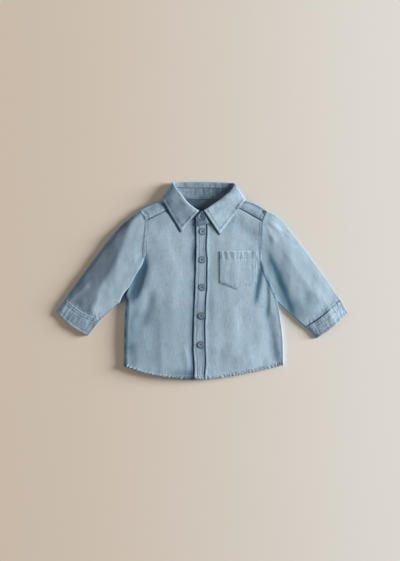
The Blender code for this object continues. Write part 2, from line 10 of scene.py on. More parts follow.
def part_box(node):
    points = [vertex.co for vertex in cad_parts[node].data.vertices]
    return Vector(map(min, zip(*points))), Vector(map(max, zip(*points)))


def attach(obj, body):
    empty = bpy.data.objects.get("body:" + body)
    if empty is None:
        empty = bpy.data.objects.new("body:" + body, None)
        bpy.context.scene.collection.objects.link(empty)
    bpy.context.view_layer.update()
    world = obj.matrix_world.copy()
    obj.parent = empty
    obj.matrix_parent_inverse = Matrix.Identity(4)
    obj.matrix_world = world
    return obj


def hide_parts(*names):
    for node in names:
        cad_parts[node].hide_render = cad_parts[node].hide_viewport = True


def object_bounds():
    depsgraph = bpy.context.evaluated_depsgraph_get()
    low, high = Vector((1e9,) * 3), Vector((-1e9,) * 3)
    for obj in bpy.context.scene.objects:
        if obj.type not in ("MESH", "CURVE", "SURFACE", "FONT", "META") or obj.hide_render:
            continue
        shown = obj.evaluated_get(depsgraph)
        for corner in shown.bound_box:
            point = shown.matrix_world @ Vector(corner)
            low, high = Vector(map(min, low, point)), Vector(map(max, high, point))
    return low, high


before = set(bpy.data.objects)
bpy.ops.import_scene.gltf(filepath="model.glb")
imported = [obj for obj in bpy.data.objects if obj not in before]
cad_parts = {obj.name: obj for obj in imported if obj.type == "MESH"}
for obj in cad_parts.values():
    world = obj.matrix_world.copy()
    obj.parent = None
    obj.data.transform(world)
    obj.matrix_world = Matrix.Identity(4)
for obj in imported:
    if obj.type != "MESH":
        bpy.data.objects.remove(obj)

# ---- Surface, camera and light ---------------------------------------------------------
# The shirt lies on its back on a plain sheet of warm paper. A large soft light stands low on
# the wearer's left, a warm wall on the right sends a little back, and the room fills the
# shadows. Sizes are millimetres.
MM = 0.001
CAD_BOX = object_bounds()
# The paper's colour is painted darker away from the window and lighter near it, as painted light falloff
PAPER_DIM_PAINTED = (0.660, 0.568, 0.480, 1.0)     # painted light falloff: the dim side, away from the window
PAPER_LIT_PAINTED = (0.718, 0.700, 0.676, 1.0)
PAPER_MOTTLE = 0.06
PAPER_REACH = 16.0    # half its side, in metres
CAMERA_OFFSET = (-2.9, -0.1)
CAMERA_ABOVE = 2.058  # in metres
CAMERA_LENS, CAMERA_FILM = 85.0, 36.0
ROOM_COLOUR, ROOM_STRENGTH = (0.94, 0.96, 0.98, 1.0), 0.205
# Each lamp's width, height and distance in metres, its turn and rise in degrees, power and colour
LAMPS = {
    "window": (3.0, 1.95, 7.0, 8.0, 10.6, 1690.0, (0.985, 0.99, 0.965)),
    "warm_wall": (7.0, 4.0, 6.0, 186.0, 24.0, 130.0, (1.0, 0.79, 0.60)),
}


class Value:
    """One output of a shader node; used in a sum, it adds the Math nodes for it."""

    def __init__(self, finish, socket):
        self.finish = finish
        self.socket = socket

    def sum(self, operation, left, right):
        return self.finish.add("ShaderNodeMath", {"operation": operation}, {0: left, 1: right})

    def __add__(self, other):
        return self.sum("ADD", self, other)

    def __sub__(self, other):
        return self.sum("SUBTRACT", self, other)

    def __rsub__(self, other):
        return self.sum("SUBTRACT", other, self)

    def __mul__(self, other):
        return self.sum("MULTIPLY", self, other)

    __radd__ = __add__
    __rmul__ = __mul__

    def above(self, low, high):
        """0 below low and 1 above high, with a soft step between."""
        settings = {"interpolation_type": "SMOOTHSTEP"}
        sockets = {"Value": self, "From Min": low, "From Max": high}
        return self.finish.add("ShaderNodeMapRange", settings, sockets)


class Finish:
    """A material, made node by node on Blender's own surface shader."""

    def __init__(self, name, roughness, sheen=0.0):
        self.material = bpy.data.materials.new(name)
        self.material.use_nodes = True
        self.tree = self.material.node_tree
        self.shader = self.tree.nodes["Principled BSDF"]
        self.shader.inputs["Roughness"].default_value = roughness
        self.shader.inputs["Sheen Weight"].default_value = sheen

    def add(self, kind, settings, sockets, output=0):
        node = self.tree.nodes.new(kind)
        for key, setting in settings.items():
            setattr(node, key, setting)
        for key, given in sockets.items():
            self.feed(node.inputs[key], given)
        return Value(self, node.outputs[output])

    def feed(self, socket, given):
        if isinstance(given, Value):
            self.tree.links.new(given.socket, socket)
        else:
            socket.default_value = given

    def layer(self, name, output="Fac"):
        """What the mesh stores under this name at each of its points."""
        return self.add("ShaderNodeAttribute", {"attribute_name": name}, {}, output)

    def noise(self, place, factors, detail=2.0, rough=0.5):
        """Uneven values about 0.5, in lumps of about one unit of place times the factors."""
        scaled = self.add("ShaderNodeVectorMath", {"operation": "MULTIPLY"}, {0: place, 1: factors})
        sockets = {"Vector": scaled, "Scale": 1.0, "Detail": detail, "Roughness": rough}
        return self.add("ShaderNodeTexNoise", {}, sockets)

    def part(self, vector, output="X"):
        """One number of a vector."""
        return self.add("ShaderNodeSeparateXYZ", {}, {0: vector}, output)

    def mix(self, share, first, second, blend="MIX"):
        settings = {"data_type": "RGBA", "blend_type": blend}
        return self.add("ShaderNodeMix", settings, {0: share, 6: first, 7: second}, 2)

    def colour(self, given):
        self.feed(self.shader.inputs["Base Color"], given)

    def bump(self, height, distance, strength=1.0):
        sockets = {"Height": height, "Distance": distance, "Strength": strength}
        self.feed(self.shader.inputs["Normal"], self.add("ShaderNodeBump", {}, sockets))


def paper():
    finish = Finish("paper", 0.9)
    place = finish.add("ShaderNodeTexCoord", {}, {}, "Object")
    mottle = finish.noise(place, (9.0, 9.0, 9.0), 3.0)
    way = finish.part(place) + PAPER_MOTTLE * (mottle - 0.5)
    # painted light falloff across the paper, from its dim side to the side near the window
    finish.colour(finish.mix(way.above(-0.32, 0.42), PAPER_DIM_PAINTED, PAPER_LIT_PAINTED))
    finish.bump(finish.noise(place, (900.0, 900.0, 900.0)), 0.0001, 0.3)
    return finish.material


def make_floor():
    mesh = bmesh.new()
    bmesh.ops.create_grid(mesh, x_segments=8, y_segments=8, size=PAPER_REACH)
    data = bpy.data.meshes.new("paper_sheet")
    mesh.to_mesh(data)
    mesh.free()
    data.materials.append(paper())
    obj = bpy.data.objects.new("paper_sheet", data)
    bpy.context.scene.collection.objects.link(obj)
    obj.location.z = CAD_BOX[0].z
    return obj


def make_camera():
    lens = bpy.data.cameras.new("camera")
    lens.lens = CAMERA_LENS
    lens.sensor_width = CAMERA_FILM
    camera = bpy.data.objects.new("camera", lens)
    bpy.context.scene.collection.objects.link(camera)
    middle = (CAD_BOX[0] + CAD_BOX[1]) / 2
    camera.location = (
        middle.x + CAMERA_OFFSET[0] * MM,
        middle.y + CAMERA_OFFSET[1] * MM,
        CAD_BOX[0].z + CAMERA_ABOVE,
    )
    bpy.context.scene.camera = camera


def make_lamp(name, width, height, away, turn, rise, power, colour):
    lamp = bpy.data.lights.new(name, "AREA")
    lamp.shape = "ELLIPSE"
    lamp.size = width
    lamp.size_y = height
    lamp.energy = power
    lamp.color = colour
    obj = bpy.data.objects.new(name, lamp)
    bpy.context.scene.collection.objects.link(obj)
    turn, rise = math.radians(turn), math.radians(rise)
    level = math.cos(rise)
    towards = Vector((math.cos(turn) * level, math.sin(turn) * level, math.sin(rise)))
    obj.location = away * towards
    obj.rotation_euler = towards.to_track_quat("Z", "Y").to_euler()


def make_light():
    for name, lamp in LAMPS.items():
        make_lamp(name, *lamp)
    world = bpy.data.worlds.new("room")
    world.use_nodes = True
    background = world.node_tree.nodes["Background"]
    background.inputs["Color"].default_value = ROOM_COLOUR
    background.inputs["Strength"].default_value = ROOM_STRENGTH
    bpy.context.scene.world = world
    bpy.context.scene.view_settings.view_transform = "Standard"


floor = make_floor()
make_camera()
make_light()

# ---- Back panel ------------------------------------------------------------------------
# Chambray, cut in one piece from the yoke seam to the hem. It lies flat on the paper with its
# inside up, and carries every other piece.
CLOTH = 0.55          # thickness of one layer
GROUND = 0.62         # upper face of a layer that lies on the paper
BACK_HEM = 5.0        # from its edge to its stitches
SHEET_WELD = 0.02     # points of two sheets this near are one
YOKE_BACK_Y = 72.0
HEM_Y = -153.5
HEM = {
    "left": {"width": 127.0, "rise": 21.5, "power": 1.5},
    "right": {"width": 120.0, "rise": 19.5, "power": 2.65},
}
# Cut edges in plan as (x, y), from the neck outwards and from the shoulder down
EDGES = {
    "left": {
        "yoke_end": [(100.4, 108.5), (97.0, 101.0), (93.8, 93.3)],
        "armhole": [(93.8, 93.3), (92.6, 60.0), (95.6, 20.0), (106.5, -5.0), (118.4, -30.0)],
        "side": [(127.0, -132.0), (126.0, -92.0), (122.6, -62.0), (117.8, -33.4)],
        "shoulder": [(61.0, 123.2), (70.5, 122.4), (84.0, 118.2)],
        "yoke_seam": [(49.5, 116.5), (61.2, 111.1), (93.8, 93.3)],
        "sleeve_top": [(100.4, 108.5), (120.5, 95.5), (140.3, 72.0), (186.8, 10.0), (215.4, -31.0)],
        "sleeve_under": [(119.4, -31.5), (144.9, -57.5), (162.2, -73.4)],
        "cuff_top": [(215.9, -31.8), (226.9, -51.5)],
        "cuff_under": [(162.8, -74.0), (178.1, -90.5)],
        "wrist": [(215.4, -31.0), (190.0, -54.5), (162.2, -73.4)],
        "cuff_end": [(226.9, -51.5), (203.5, -73.0), (178.1, -90.5)],
    },
    "right": {
        "yoke_end": [(-95.3, 109.6), (-90.5, 101.5), (-86.8, 93.3)],
        "armhole": [(-86.8, 93.3), (-89.8, 60.0), (-92.6, 28.0), (-106.0, 4.0), (-118.4, -28.0)],
        "side": [(-120.6, -133.7), (-120.4, -100.0), (-119.4, -62.0), (-117.0, -31.4)],
        "shoulder": [(-56.5, 122.6), (-64.5, 121.8), (-78.0, 117.8)],
        "yoke_seam": [(-44.5, 113.5), (-55.0, 108.8), (-86.8, 93.3)],
        "sleeve_top": [(-95.3, 109.6), (-124.8, 84.0), (-151.1, 53.0), (-188.3, 3.0), (-211.7, -29.3)],
        "sleeve_under": [(-119.2, -29.0), (-140.3, -46.5), (-157.6, -62.2)],
        "cuff_top": [(-212.4, -30.2), (-225.7, -48.5)],
        "cuff_under": [(-158.2, -63.0), (-176.7, -86.5)],
        "wrist": [(-211.7, -29.3), (-186.0, -49.0), (-157.6, -62.2)],
        "cuff_end": [(-225.7, -48.5), (-203.0, -70.5), (-176.7, -86.5)],
    },
}
PALE_YARN = (0.538, 0.655, 0.765, 1.0)
BLUE_YARN = (0.160, 0.285, 0.400, 1.0)
WORN_YARN = (0.680, 0.765, 0.830, 1.0)
FOLD_PAINTED_SHADE_TINT = (0.170, 0.305, 0.385, 1.0)      # painted shade: what multiplies the cloth's colour deep in a fold
GAP_PAINTED_SHADE_TINT = (0.150, 0.250, 0.380, 1.0)         # painted shade: multiplies it once more in the gap beside an edge
SHADE_SIDE_PAINTED_TINT = (0.800, 0.965, 1.080, 1.0)        # painted shade: a cooler tint on slopes that turn away from the window
YARN_PITCH = 0.42     # from one warp yarn to the next


class Line:
    """A smooth line through a few points in plan, read by the share of its length."""

    def __init__(self, points, dense=False):
        points = np.array(points, float)
        self.points = points if dense else through(points, 16)
        run = run_along(self.points)
        self.length = run[-1]
        self.shares = run / self.length

    def at(self, share):
        return np.stack([np.interp(share, self.shares, axis) for axis in self.points.T], axis=-1)

    def beside(self, distance):
        """The same line, moved to the left of its own direction."""
        run = np.gradient(self.points, axis=0)
        run /= np.linalg.norm(run, axis=1)[:, None]
        return Line(self.points + distance * np.stack([-run[:, 1], run[:, 0]], axis=1), dense=True)

    def then(self, other):
        return Line(np.vstack([self.points, other.points[1:]]), dense=True)

    def back(self):
        return Line(self.points[::-1], dense=True)

    def part(self, start, end):
        return Line(self.at(np.linspace(start, end, 97)), dense=True)

    def share_at_y(self, y):
        order = np.argsort(self.points[:, 1])
        return float(np.interp(y, self.points[order, 1], self.shares[order]))


def run_along(points):
    """Way along a line of points from its first to each."""
    return np.concatenate([[0.0], np.cumsum(np.linalg.norm(np.diff(points, axis=0), axis=1))])


def through(rows, steps):
    """Catmull-Rom through rows of numbers, with the given steps between two rows."""
    rows = np.array(rows, float)
    padded = np.vstack([2 * rows[0] - rows[1], rows, 2 * rows[-1] - rows[-2]])
    out = []
    for a, b, c, d in zip(padded, padded[1:], padded[2:], padded[3:]):
        for t in np.linspace(0.0, 1.0, steps, endpoint=False):
            bend = (2 * a - 5 * b + 4 * c - d) * t * t + (3 * b - a - 3 * c + d) * t ** 3
            out.append(0.5 * (2 * b + (c - a) * t + bend))
    out.append(rows[-1])
    return np.array(out)


def smooth(value, low, high):
    """0 below low and 1 above high, with a soft step between; low may be the greater."""
    t = np.clip((value - low) / (high - low), 0.0, 1.0)
    return t * t * (3.0 - 2.0 * t)


def hump(value, middle, width):
    """1 at the middle, falling softly to 0 on both sides of it."""
    return np.exp(-((value - middle) / width) ** 2)


def ripple(x, y, size_x, size_y, seed):
    """Smooth uneven heights, about -1 to 1, in lumps of about size_x by size_y."""
    angles = np.random.default_rng(seed).uniform(0.0, 2.0 * math.pi, (64, 64))
    x, y = np.asarray(x, float) / size_x + 0.37, np.asarray(y, float) / size_y + 0.61
    x, y = np.broadcast_arrays(x, y)
    column, row = np.floor(x).astype(int), np.floor(y).astype(int)
    right, up = x - column, y - row

    def pull(i, j):
        angle = angles[(column + i) % 64, (row + j) % 64]
        return np.cos(angle) * (right - i) + np.sin(angle) * (up - j)

    across = right ** 3 * (right * (6.0 * right - 15.0) + 10.0)
    along = up ** 3 * (up * (6.0 * up - 15.0) + 10.0)
    low = pull(0, 0) * (1.0 - across) + pull(1, 0) * across
    high = pull(0, 1) * (1.0 - across) + pull(1, 1) * across
    return 1.7 * (low * (1.0 - along) + high * along)


def coons(bottom, top, inner, outer, u, v):
    """Place in plan between four cut edges: u from inner to outer, v from bottom to top."""
    a, b = u[..., None], v[..., None]
    ruled = (1 - b) * bottom.at(u) + b * top.at(u) + (1 - a) * inner.at(v) + a * outer.at(v)
    low = (1 - a) * bottom.at(0) + a * bottom.at(1)
    high = (1 - a) * top.at(0) + a * top.at(1)
    return ruled - (1 - b) * low - b * high


def spaced(length, fine, coarse, band):
    """Shares of a length: fine steps in a band at both ends, and coarse ones between."""
    near = np.arange(0.0, band, fine)
    count = max(3, round((length - 2 * band) / coarse) + 1)
    middle = np.linspace(band, length - band, count)
    return np.concatenate([near, middle, (length - near)[::-1]]) / length


class Panel:
    """A cut piece laid out in plan between four edges, with each point's way from every edge."""

    def __init__(self, bottom, top, inner, outer, us, vs):
        u, v = np.meshgrid(us, vs)
        self.u, self.v = u, v
        place = coons(bottom, top, inner, outer, u, v)
        self.x, self.y = place[..., 0], place[..., 1]
        zero, one = 0 * u, 0 * u + 1
        ends = {"bottom": (u, zero), "top": (u, one), "inner": (zero, v), "outer": (one, v)}
        self.off = {}
        for name, (end_u, end_v) in ends.items():
            gap = place - coons(bottom, top, inner, outer, end_u, end_v)
            self.off[name] = np.linalg.norm(gap, axis=-1)
        self.up = v * outer.length
        self.out = u * bottom.length

    def edge(self, *names):
        """Distance from the nearest of these edges."""
        return np.minimum.reduce([self.off[name] for name in names])


def seam_step(away, width, raised):
    """Extra height of an edge's turned cloth, up to the width that it is turned."""
    return raised * smooth(away, width + 0.8, width - 0.6)


def seam_band(away, along, width, seed, gather=0.3, pitch=4.6, slant=0.0):
    """Height of a stitched edge's puckers: a groove along its stitches, and uneven gathers on
    both sides of them."""
    lumps = ripple(along + slant * away, away, pitch, 7.0, seed)
    lumps += 0.6 * ripple(along + slant * away, away, 0.53 * pitch, 5.0, seed + 1)
    near = hump(away, 0.8 * width, 0.9 * width)
    groove = hump(away, width, 0.75)
    return gather * lumps * near - 0.28 * groove


def stitch_shade(away, along, width, depth=0.3):
    """Painted shade along a row of stitches, where it draws the cloth in, in uneven dashes."""
    dashes = 0.8 + 0.5 * ripple(along, 0.0, 1.7, 1.0, 52)
    return depth * dashes * hump(away, width, 0.65)


def roping(away, along, width, pitch, seed, height=0.3, slant=0.9):
    """Height of a twisted hem: slanting ridges, uneven in pitch and strength."""
    wander = 0.8 * ripple(along, 0.0, 3.1 * pitch, 1.0, seed)
    strength = 1.0 + 0.5 * ripple(along, 0.0, 2.3 * pitch, 1.0, seed + 1)
    wave = np.sin(2.0 * math.pi * ((along + slant * away) / pitch + wander))
    reach = smooth(away, -0.5, 1.0) * smooth(away, width + 2.2, width - 1.6)
    return height * strength * wave * reach


def skin(x, y, z, grain, edge, rise, deep=0.0, flip=False, closed=False):
    """One sheet of points, with its cloth coordinates, its way from a finished edge, how far
    its seams raise it and how much painted shade (deep) darkens its colour."""
    shape = np.broadcast(x, y, z).shape
    points = np.stack([np.broadcast_to(part, shape) for part in (x, y, z)], axis=-1)
    across, along = (np.broadcast_to(part, shape) for part in grain)
    return {
        "points": points,
        "grain": np.stack([across, along, np.zeros(shape)], axis=-1),
        "edge": np.broadcast_to(edge, shape),
        "rise": np.broadcast_to(rise, shape),
        "deep": np.broadcast_to(deep, shape),
        "flip": flip,
        "closed": closed,
    }


def rounding(away, reach):
    """How far a rounded edge has fallen: 1 at the edge, 0 where the cloth lies level."""
    low = 1.0 - np.clip(away / reach, 0.0, 1.0)
    return 1.0 - np.sqrt(1.0 - low ** 2)


def grid_faces(rows, columns, closed=False):
    """Faces between rows of points; closed also joins each row's last point to its first."""
    number = np.arange(rows * columns).reshape(rows, columns)
    if closed:
        number = np.hstack([number, number[:, :1]])
    corners = [number[:-1, :-1], number[:-1, 1:], number[1:, 1:], number[1:, :-1]]
    return np.stack(corners, axis=-1).reshape(-1, 4)


def make_object(name, points, faces, layers, finish, weld=0.0):
    """A smooth mesh on the root: points in millimetres, and layers of values at each of them."""
    data = bpy.data.meshes.new(name)
    data.from_pydata((points * MM).tolist(), [], faces)
    for key, values in layers.items():
        kind, field = ("FLOAT_VECTOR", "vector") if values.ndim > 1 else ("FLOAT", "value")
        data.attributes.new(key, kind, "POINT").data.foreach_set(field, values.ravel())
    if weld:
        mesh = bmesh.new()
        mesh.from_mesh(data)
        bmesh.ops.remove_doubles(mesh, verts=mesh.verts, dist=weld * MM)
        mesh.to_mesh(data)
        mesh.free()
    data.shade_smooth()
    data.materials.append(finish)
    obj = bpy.data.objects.new(name, data)
    bpy.context.scene.collection.objects.link(obj)
    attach(obj, "root")
    return obj


SURFACES = {}


def shell(name, skins, finish, node, thickness=CLOTH, side=-1.0):
    """A cloth piece in place of its solid: sheets joined where they meet, given a thickness."""
    points = np.concatenate([part["points"].reshape(-1, 3) for part in skins])
    faces = []
    start = 0
    for part in skins:
        quads = start + grid_faces(*part["points"].shape[:2], part["closed"])
        start += part["edge"].size
        faces.append(quads[:, ::-1] if part["flip"] else quads)
    faces = np.concatenate(faces).tolist()
    SURFACES[name] = BVHTree.FromPolygons(points.tolist(), faces)
    layers = {"grain": np.concatenate([part["grain"].reshape(-1, 3) for part in skins])}
    # deep is the painted shade that each chambray finish multiplies into the cloth's colour
    for key in ("edge", "rise", "deep"):
        layers[key] = np.concatenate([part[key].ravel() for part in skins])
    weld = SHEET_WELD if len(skins) > 1 else 0.0
    obj = make_object(name, points, faces, layers, finish, weld)
    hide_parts(node)
    solid = obj.modifiers.new("thickness", "SOLIDIFY")
    solid.thickness = thickness * MM
    solid.offset = side
    return obj


def chambray(name, wear, painted_shade_tint=FOLD_PAINTED_SHADE_TINT):
    """Plain weave of blue warp and pale weft, washed: slubs along the warp, paler where seams
    and edges rub, with painted shade that darkens it in its hollows and gaps and cools it on
    slopes turned away from the window."""
    finish = Finish(name, 0.86, 0.10)
    grain = finish.layer("grain", "Vector")
    edge, rise, deep = finish.layer("edge"), finish.layer("rise"), finish.layer("deep")
    yarns = []
    for way in ("X", "Y"):
        phase = finish.part(grain, way) * (2.0 * math.pi / YARN_PITCH)
        yarns.append(finish.add("ShaderNodeMath", {"operation": "SINE"}, {0: phase}))
    weave = yarns[0] * yarns[1] * 0.5 + 0.5
    slub = finish.noise(grain, (1.1, 0.075, 1.0), 3.0, 0.55)
    long_slub = finish.noise(grain, (0.30, 0.02, 1.0), 2.0)
    cross_slub = finish.noise(grain, (0.05, 0.9, 1.0), 2.0)
    wash = finish.noise(grain, (0.055, 0.045, 1.0), 3.0)
    speckle = finish.noise(grain, (1.6, 1.1, 1.0), 3.0, 0.7)
    flecks = slub.above(0.40, 0.30)
    share = 0.46 + 0.10 * (weave - 0.5)
    share = share + 0.52 * (slub - 0.5) + 0.12 * (long_slub - 0.5) + 0.14 * (cross_slub - 0.5)
    share = share + 0.34 * (wash - 0.5) + 0.45 * (speckle - 0.5) - 0.30 * flecks + wear * rise
    cloth = finish.mix(share, BLUE_YARN, PALE_YARN)
    rubbed = (1.0 - edge.above(0.1, 0.9)) * speckle.above(0.40, 0.62) * 0.40
    worn = finish.mix(rubbed, cloth, WORN_YARN)
    # painted shade: the deep layer darkens the cloth towards its shade tint, and past 1 towards the gap's
    # tint
    shaded = finish.mix(deep, worn, painted_shade_tint, "MULTIPLY")
    shaded = finish.mix(deep - 1.0, shaded, GAP_PAINTED_SHADE_TINT, "MULTIPLY")
    # painted shade: slopes that turn away from the window, towards -x, take the cooler tint
    facing = finish.part(finish.add("ShaderNodeNewGeometry", {}, {}, "Normal"))
    finish.colour(finish.mix((0.0 - facing).above(0.02, 0.20), shaded, SHADE_SIDE_PAINTED_TINT, "MULTIPLY"))
    finish.bump(weave * 0.6 + slub * 1.2 + speckle * 0.8, 0.00022, 0.55)
    return finish.material


BODY_CLOTH = chambray("chambray_body", 0.55)


def edge_line(side, name, gap=0.0):
    return Line(EDGES[side][name]).beside(gap)


def inwards(side):
    """Sign that moves a line running up or out towards the body's middle on this side."""
    return 1.0 if side == "left" else -1.0


def hem_y(side, x):
    hem = HEM[side]
    return HEM_Y + hem["rise"] * (abs(x) / hem["width"]) ** hem["power"]


def hem_line(side, from_x):
    to_x = EDGES[side]["side"][0][0]
    return Line([(x, hem_y(side, x)) for x in np.linspace(from_x, to_x, 13)])


def make_back():
    outers = {}
    for side in ("left", "right"):
        armhole = edge_line(side, "armhole")
        lower = armhole.part(armhole.share_at_y(YOKE_BACK_Y - 0.4), 0.98).back()
        outers[side] = edge_line(side, "side").then(lower.beside(inwards(side) * 0.5))
    left_x = EDGES["left"]["side"][0][0]
    right_x = EDGES["right"]["side"][0][0]
    hem = [(x, hem_y("left" if x > 0 else "right", x)) for x in np.linspace(right_x, left_x, 33)]
    bottom = Line(hem)
    top = Line([outers["right"].at(1.0), outers["left"].at(1.0)])
    us = spaced(244.0, 1.2, 2.4, 9.0)
    vs = spaced(220.0, 1.2, 2.4, 9.0)
    panel = Panel(bottom, top, outers["right"], outers["left"], us, vs)
    slack = smooth(panel.edge("outer", "inner", "bottom"), 3.0, 22.0)
    wave = 0.5 + 0.5 * ripple(panel.x, panel.y, 21.0, 52.0, 71)
    seam = seam_band(panel.off["bottom"], panel.out, BACK_HEM, 72, 0.08)
    z = GROUND + 0.35 * slack * wave + np.maximum(seam, 0.0)
    sheet = skin(panel.x, panel.y, z, (panel.x, panel.y), panel.off["bottom"], seam)
    return shell("back_cloth", [sheet], BODY_CLOTH, "back")


back = make_back()

# ---- Fronts ----------------------------------------------------------------------------
# Two chambray fronts, folded and stitched at the armholes, joined to the back at the sides and
# turned up twice at the hem. They lie loosely over the back, with soft folds from the armpits.
LEVEL = 6.2           # upper face of the fronts where nothing folds them
LEVEL_RIPPLES = ((0.42, 44.0, 70.0, 3), (0.20, 15.0, 38.0, 5), (0.02, 4.2, 26.0, 6))
CROWN, CROWN_HALF = 1.0, 112.0    # the shirt is this much thicker along its middle, and half its width
LOWEST = 1.75         # the fronts stay above this
SIDE_REACH = {"left": 1.2, "right": 7.0}
SIDE_RIM = {"left": 4.6, "right": 1.3}    # height where the side starts to turn under
HEM_WIDTH = 5.2
HEM_LOW = 1.7         # height that the fronts' rounded hem falls towards
ARMHOLE_WIDTH = 4.8
ARMHOLE_ROWS = ((4.4, 0.8), (1.6, 0.85))    # from the armhole to a row of stitches, and the painted shade along it
LAP = 1.4             # how far a seam's lower piece reaches under the upper one
# The placket's edges from the top down, and the seed of the way that each one wavers
PLACKET_EDGES = {
    "free": ([(-8, 82.8), (-8.3, 35), (-9.9, -17), (-12.4, -92), (-11.3, -122), (-10.8, -154.6)], 21),
    "sewn": ([(7, 86.6), (6, 50), (7.2, 22), (6.4, -8), (3.6, -78), (5, -124), (3.2, -154.6)], 23),
}
# How strong the painted shadow of the placket's free edge is on the front beside it, as (y, strength)
PLACKET_SHADOW = (
    (-154, 0.9), (-120, 0.75), (-95, 0.5), (-60, 0.5), (-40, 0.45), (-25, 0.3), (-10, 0.65),
    (5, 0.25), (20, 0.5), (36, 1.2), (52, 0.85), (66, 0.3), (82, 1.25), (96, 0.5),
)
PLACKET_PULL = 0.5    # how far a button draws the sewn edge aside
FRONTS_MEET = 0.78    # share across the placket where the two fronts' edges meet
# Each placket button: its middle, how far its holes are turned, and how much painted shade darkens it and
# the placket round it
BUTTONS = (
    (1.7, 75.5, 35, 0.0),
    (0.9, 31.8, 10, 0.08),
    (0.9, -10.9, 50, 0.24),
    (-0.2, -55.2, 25, 0.30),
    (-0.8, -100.0, 5, 0.2),
)
BAND_START = {"left": (8.6, 87.3), "right": (-5.0, 95.5)}
NECK = {
    "left": [(15.0, 88.4), (27.0, 91.9), (41.4, 103.4), (50.6, 121.0), (52.0, 130.3)],
    "right": [(-13.0, 97.6), (-26.0, 92.6), (-38.6, 102.5), (-45.6, 120.0), (-47.0, 129.8)],
}
# The leaves' edges that turn away from the window; beside them the cloth is painted with the leaves'
# shadow
LEAF_SHADED = (
    [(-62.0, 126.0), (-57.2, 118.0), (-47.8, 101.0), (-40.2, 88.6), (-33.2, 76.5)],
    [(4.6, 105.0), (14.4, 91.4), (27.0, 72.2)],
)
LIFT = {"y0": 104.0, "y1": 116.0, "x0": 84.0, "x1": 67.0, "back": 2.05, "front": 0.7}

# Folds. Each runs from start to end, bowed to its left by bow; left and right are its widths on
# either side, height is up for a ridge and down for a hollow, and shade is the painted shade laid
# along it, painted light where it is below 0.
FOLD_COLUMNS = ("x0", "y0", "x1", "y1", "bow", "left", "right", "height", "shade")
FOLDS = {
    "right_armpit_hollow": (-84, 38, -105, -30, 0, 5, 7, -0.7, 0.0),
    "right_armpit_shade_1": (-83, 43, -96, -12, 0, 2.6, 3.0, 0.0, 0.62),
    "right_armpit_shade_2": (-86, 26, -106, -31, 0, 5.0, 6.5, 0.0, 1.25),
    "right_armpit_shade_3": (-92, 22, -115, -34, 0, 7.0, 7.0, 0.0, 0.30),
    "right_armpit_ridge": (-74, 14, -103, -66, 2, 9, 5, 0.6, -0.05),
    "right_body_trough": (-77, -14, -101, -82, 2, 6, 8, -1.1, 0.20),
    "right_side_dip": (-108, -100, -109, -136, 0, 5, 7, -0.4, 0.42),
    "right_side_shade": (-103, -42, -106, -108, 0, 7, 9, 0.0, 0.38),
    "right_side_ridge": (-104, -60, -109, -112, 0, 5, 6, 0.4, 0.0),
    "right_chest": (-50, 58, -47, -66, 4, 15, 19, 0.7, 0.0),
    "right_lower": (-66, -60, -60, -144, 2, 8, 6, 0.5, 0.0),
    "right_low_side": (-72, -36, -76, -134, 0, 26, 26, -0.3, 0.27),
    "right_hem_ridge": (-24, -108, -20, -142, 0, 4, 4, 0.5, -0.1),
    "right_hem_shade": (-46, -144, -8, -149, 0, 6, 6, 0.0, 0.58),
    "right_collar_fall": (-50, 96, -74, 50, 0, 9, 7, 0.5, 0.0),
    "left_pocket_ridge": (79, 52, 104, 4, 0, 3, 3, 0.35, 0.0),
    "left_armpit_crease": (94.0, 27, 84.5, -34, 0, 2.9, 3.1, -0.2, 1.1),
    "left_armpit_valley": (101, 4, 102, -55, 1.5, 2.2, 2.8, -0.5, 0.55),
    "left_side_hollow": (101, -38, 118, -134, 0, 4, 6, -0.7, 0.50),
    "left_body_ridge": (84, -26, 83, -128, 2, 14, 26, 0.7, 0.0),
    "left_hem_fold": (10, -99, 80, -127, 0, 16, 9, 0.9, 0.0),
    "left_yoke_dip": (50, 96, 82, 64, 0, 7, 7, -0.6, 0.32),
    "right_yoke_shade": (-80, 100, -52, 88, 0, 9, 8, 0.0, 0.16),
    "left_chest": (40, 66, 44, -80, 0, 14, 14, 0.4, 0.0),
    "left_placket_shade": (14, 26, 14, -70, 0, 5, 5, 0.0, 0.26),
    "left_leaf_shade": (12, 90, 19, 74, 0, 5, 5, 0.0, 0.16),
    "left_yoke_shade": (38, 98, 52, 90, 0, 6, 6, 0.0, 0.26),
    "left_low_streak": (52, -40, 47, -118, 2, 5, 7, 0.3, 0.0),
}
FOLD_END = 0.22       # share of its length over which a fold dies away
FOLD_WANDER = 0.16    # how far it strays sideways, as a share of its width
FOLD_UNEVEN = 0.22    # how much its height varies along it


def fold(x, y, row, seed):
    """Strength of one fold at a place in plan: about 1 along its middle, 0 beside it."""
    f = dict(zip(FOLD_COLUMNS, row))
    run = math.hypot(f["x1"] - f["x0"], f["y1"] - f["y0"])
    ax, ay = (f["x1"] - f["x0"]) / run, (f["y1"] - f["y0"]) / run
    along = ((x - f["x0"]) * ax + (y - f["y0"]) * ay) / run
    across = (y - f["y0"]) * ax - (x - f["x0"]) * ay
    held = np.clip(along, 0.0, 1.0)
    across = across - f["bow"] * 4.0 * held * (1.0 - held)
    across = across + FOLD_WANDER * f["left"] * ripple(along * run, 0.0, 19.0, 1.0, seed)
    width = np.where(across > 0, f["left"], f["right"])
    ends = smooth(along, -FOLD_END, FOLD_END) * smooth(1.0 - along, -FOLD_END, FOLD_END)
    uneven = 1.0 + FOLD_UNEVEN * ripple(along * run, 9.0, 26.0, 1.0, seed + 40)
    return uneven * ends * np.exp(-0.5 * (across / width) ** 2)


def hollow(x, y, rows, seed=0):
    """How much painted shade the folds lay on the cloth: 0 on top, 1 and more in a sharp one."""
    return sum(row[-1] * fold(x, y, row, seed + i) for i, row in enumerate(rows))


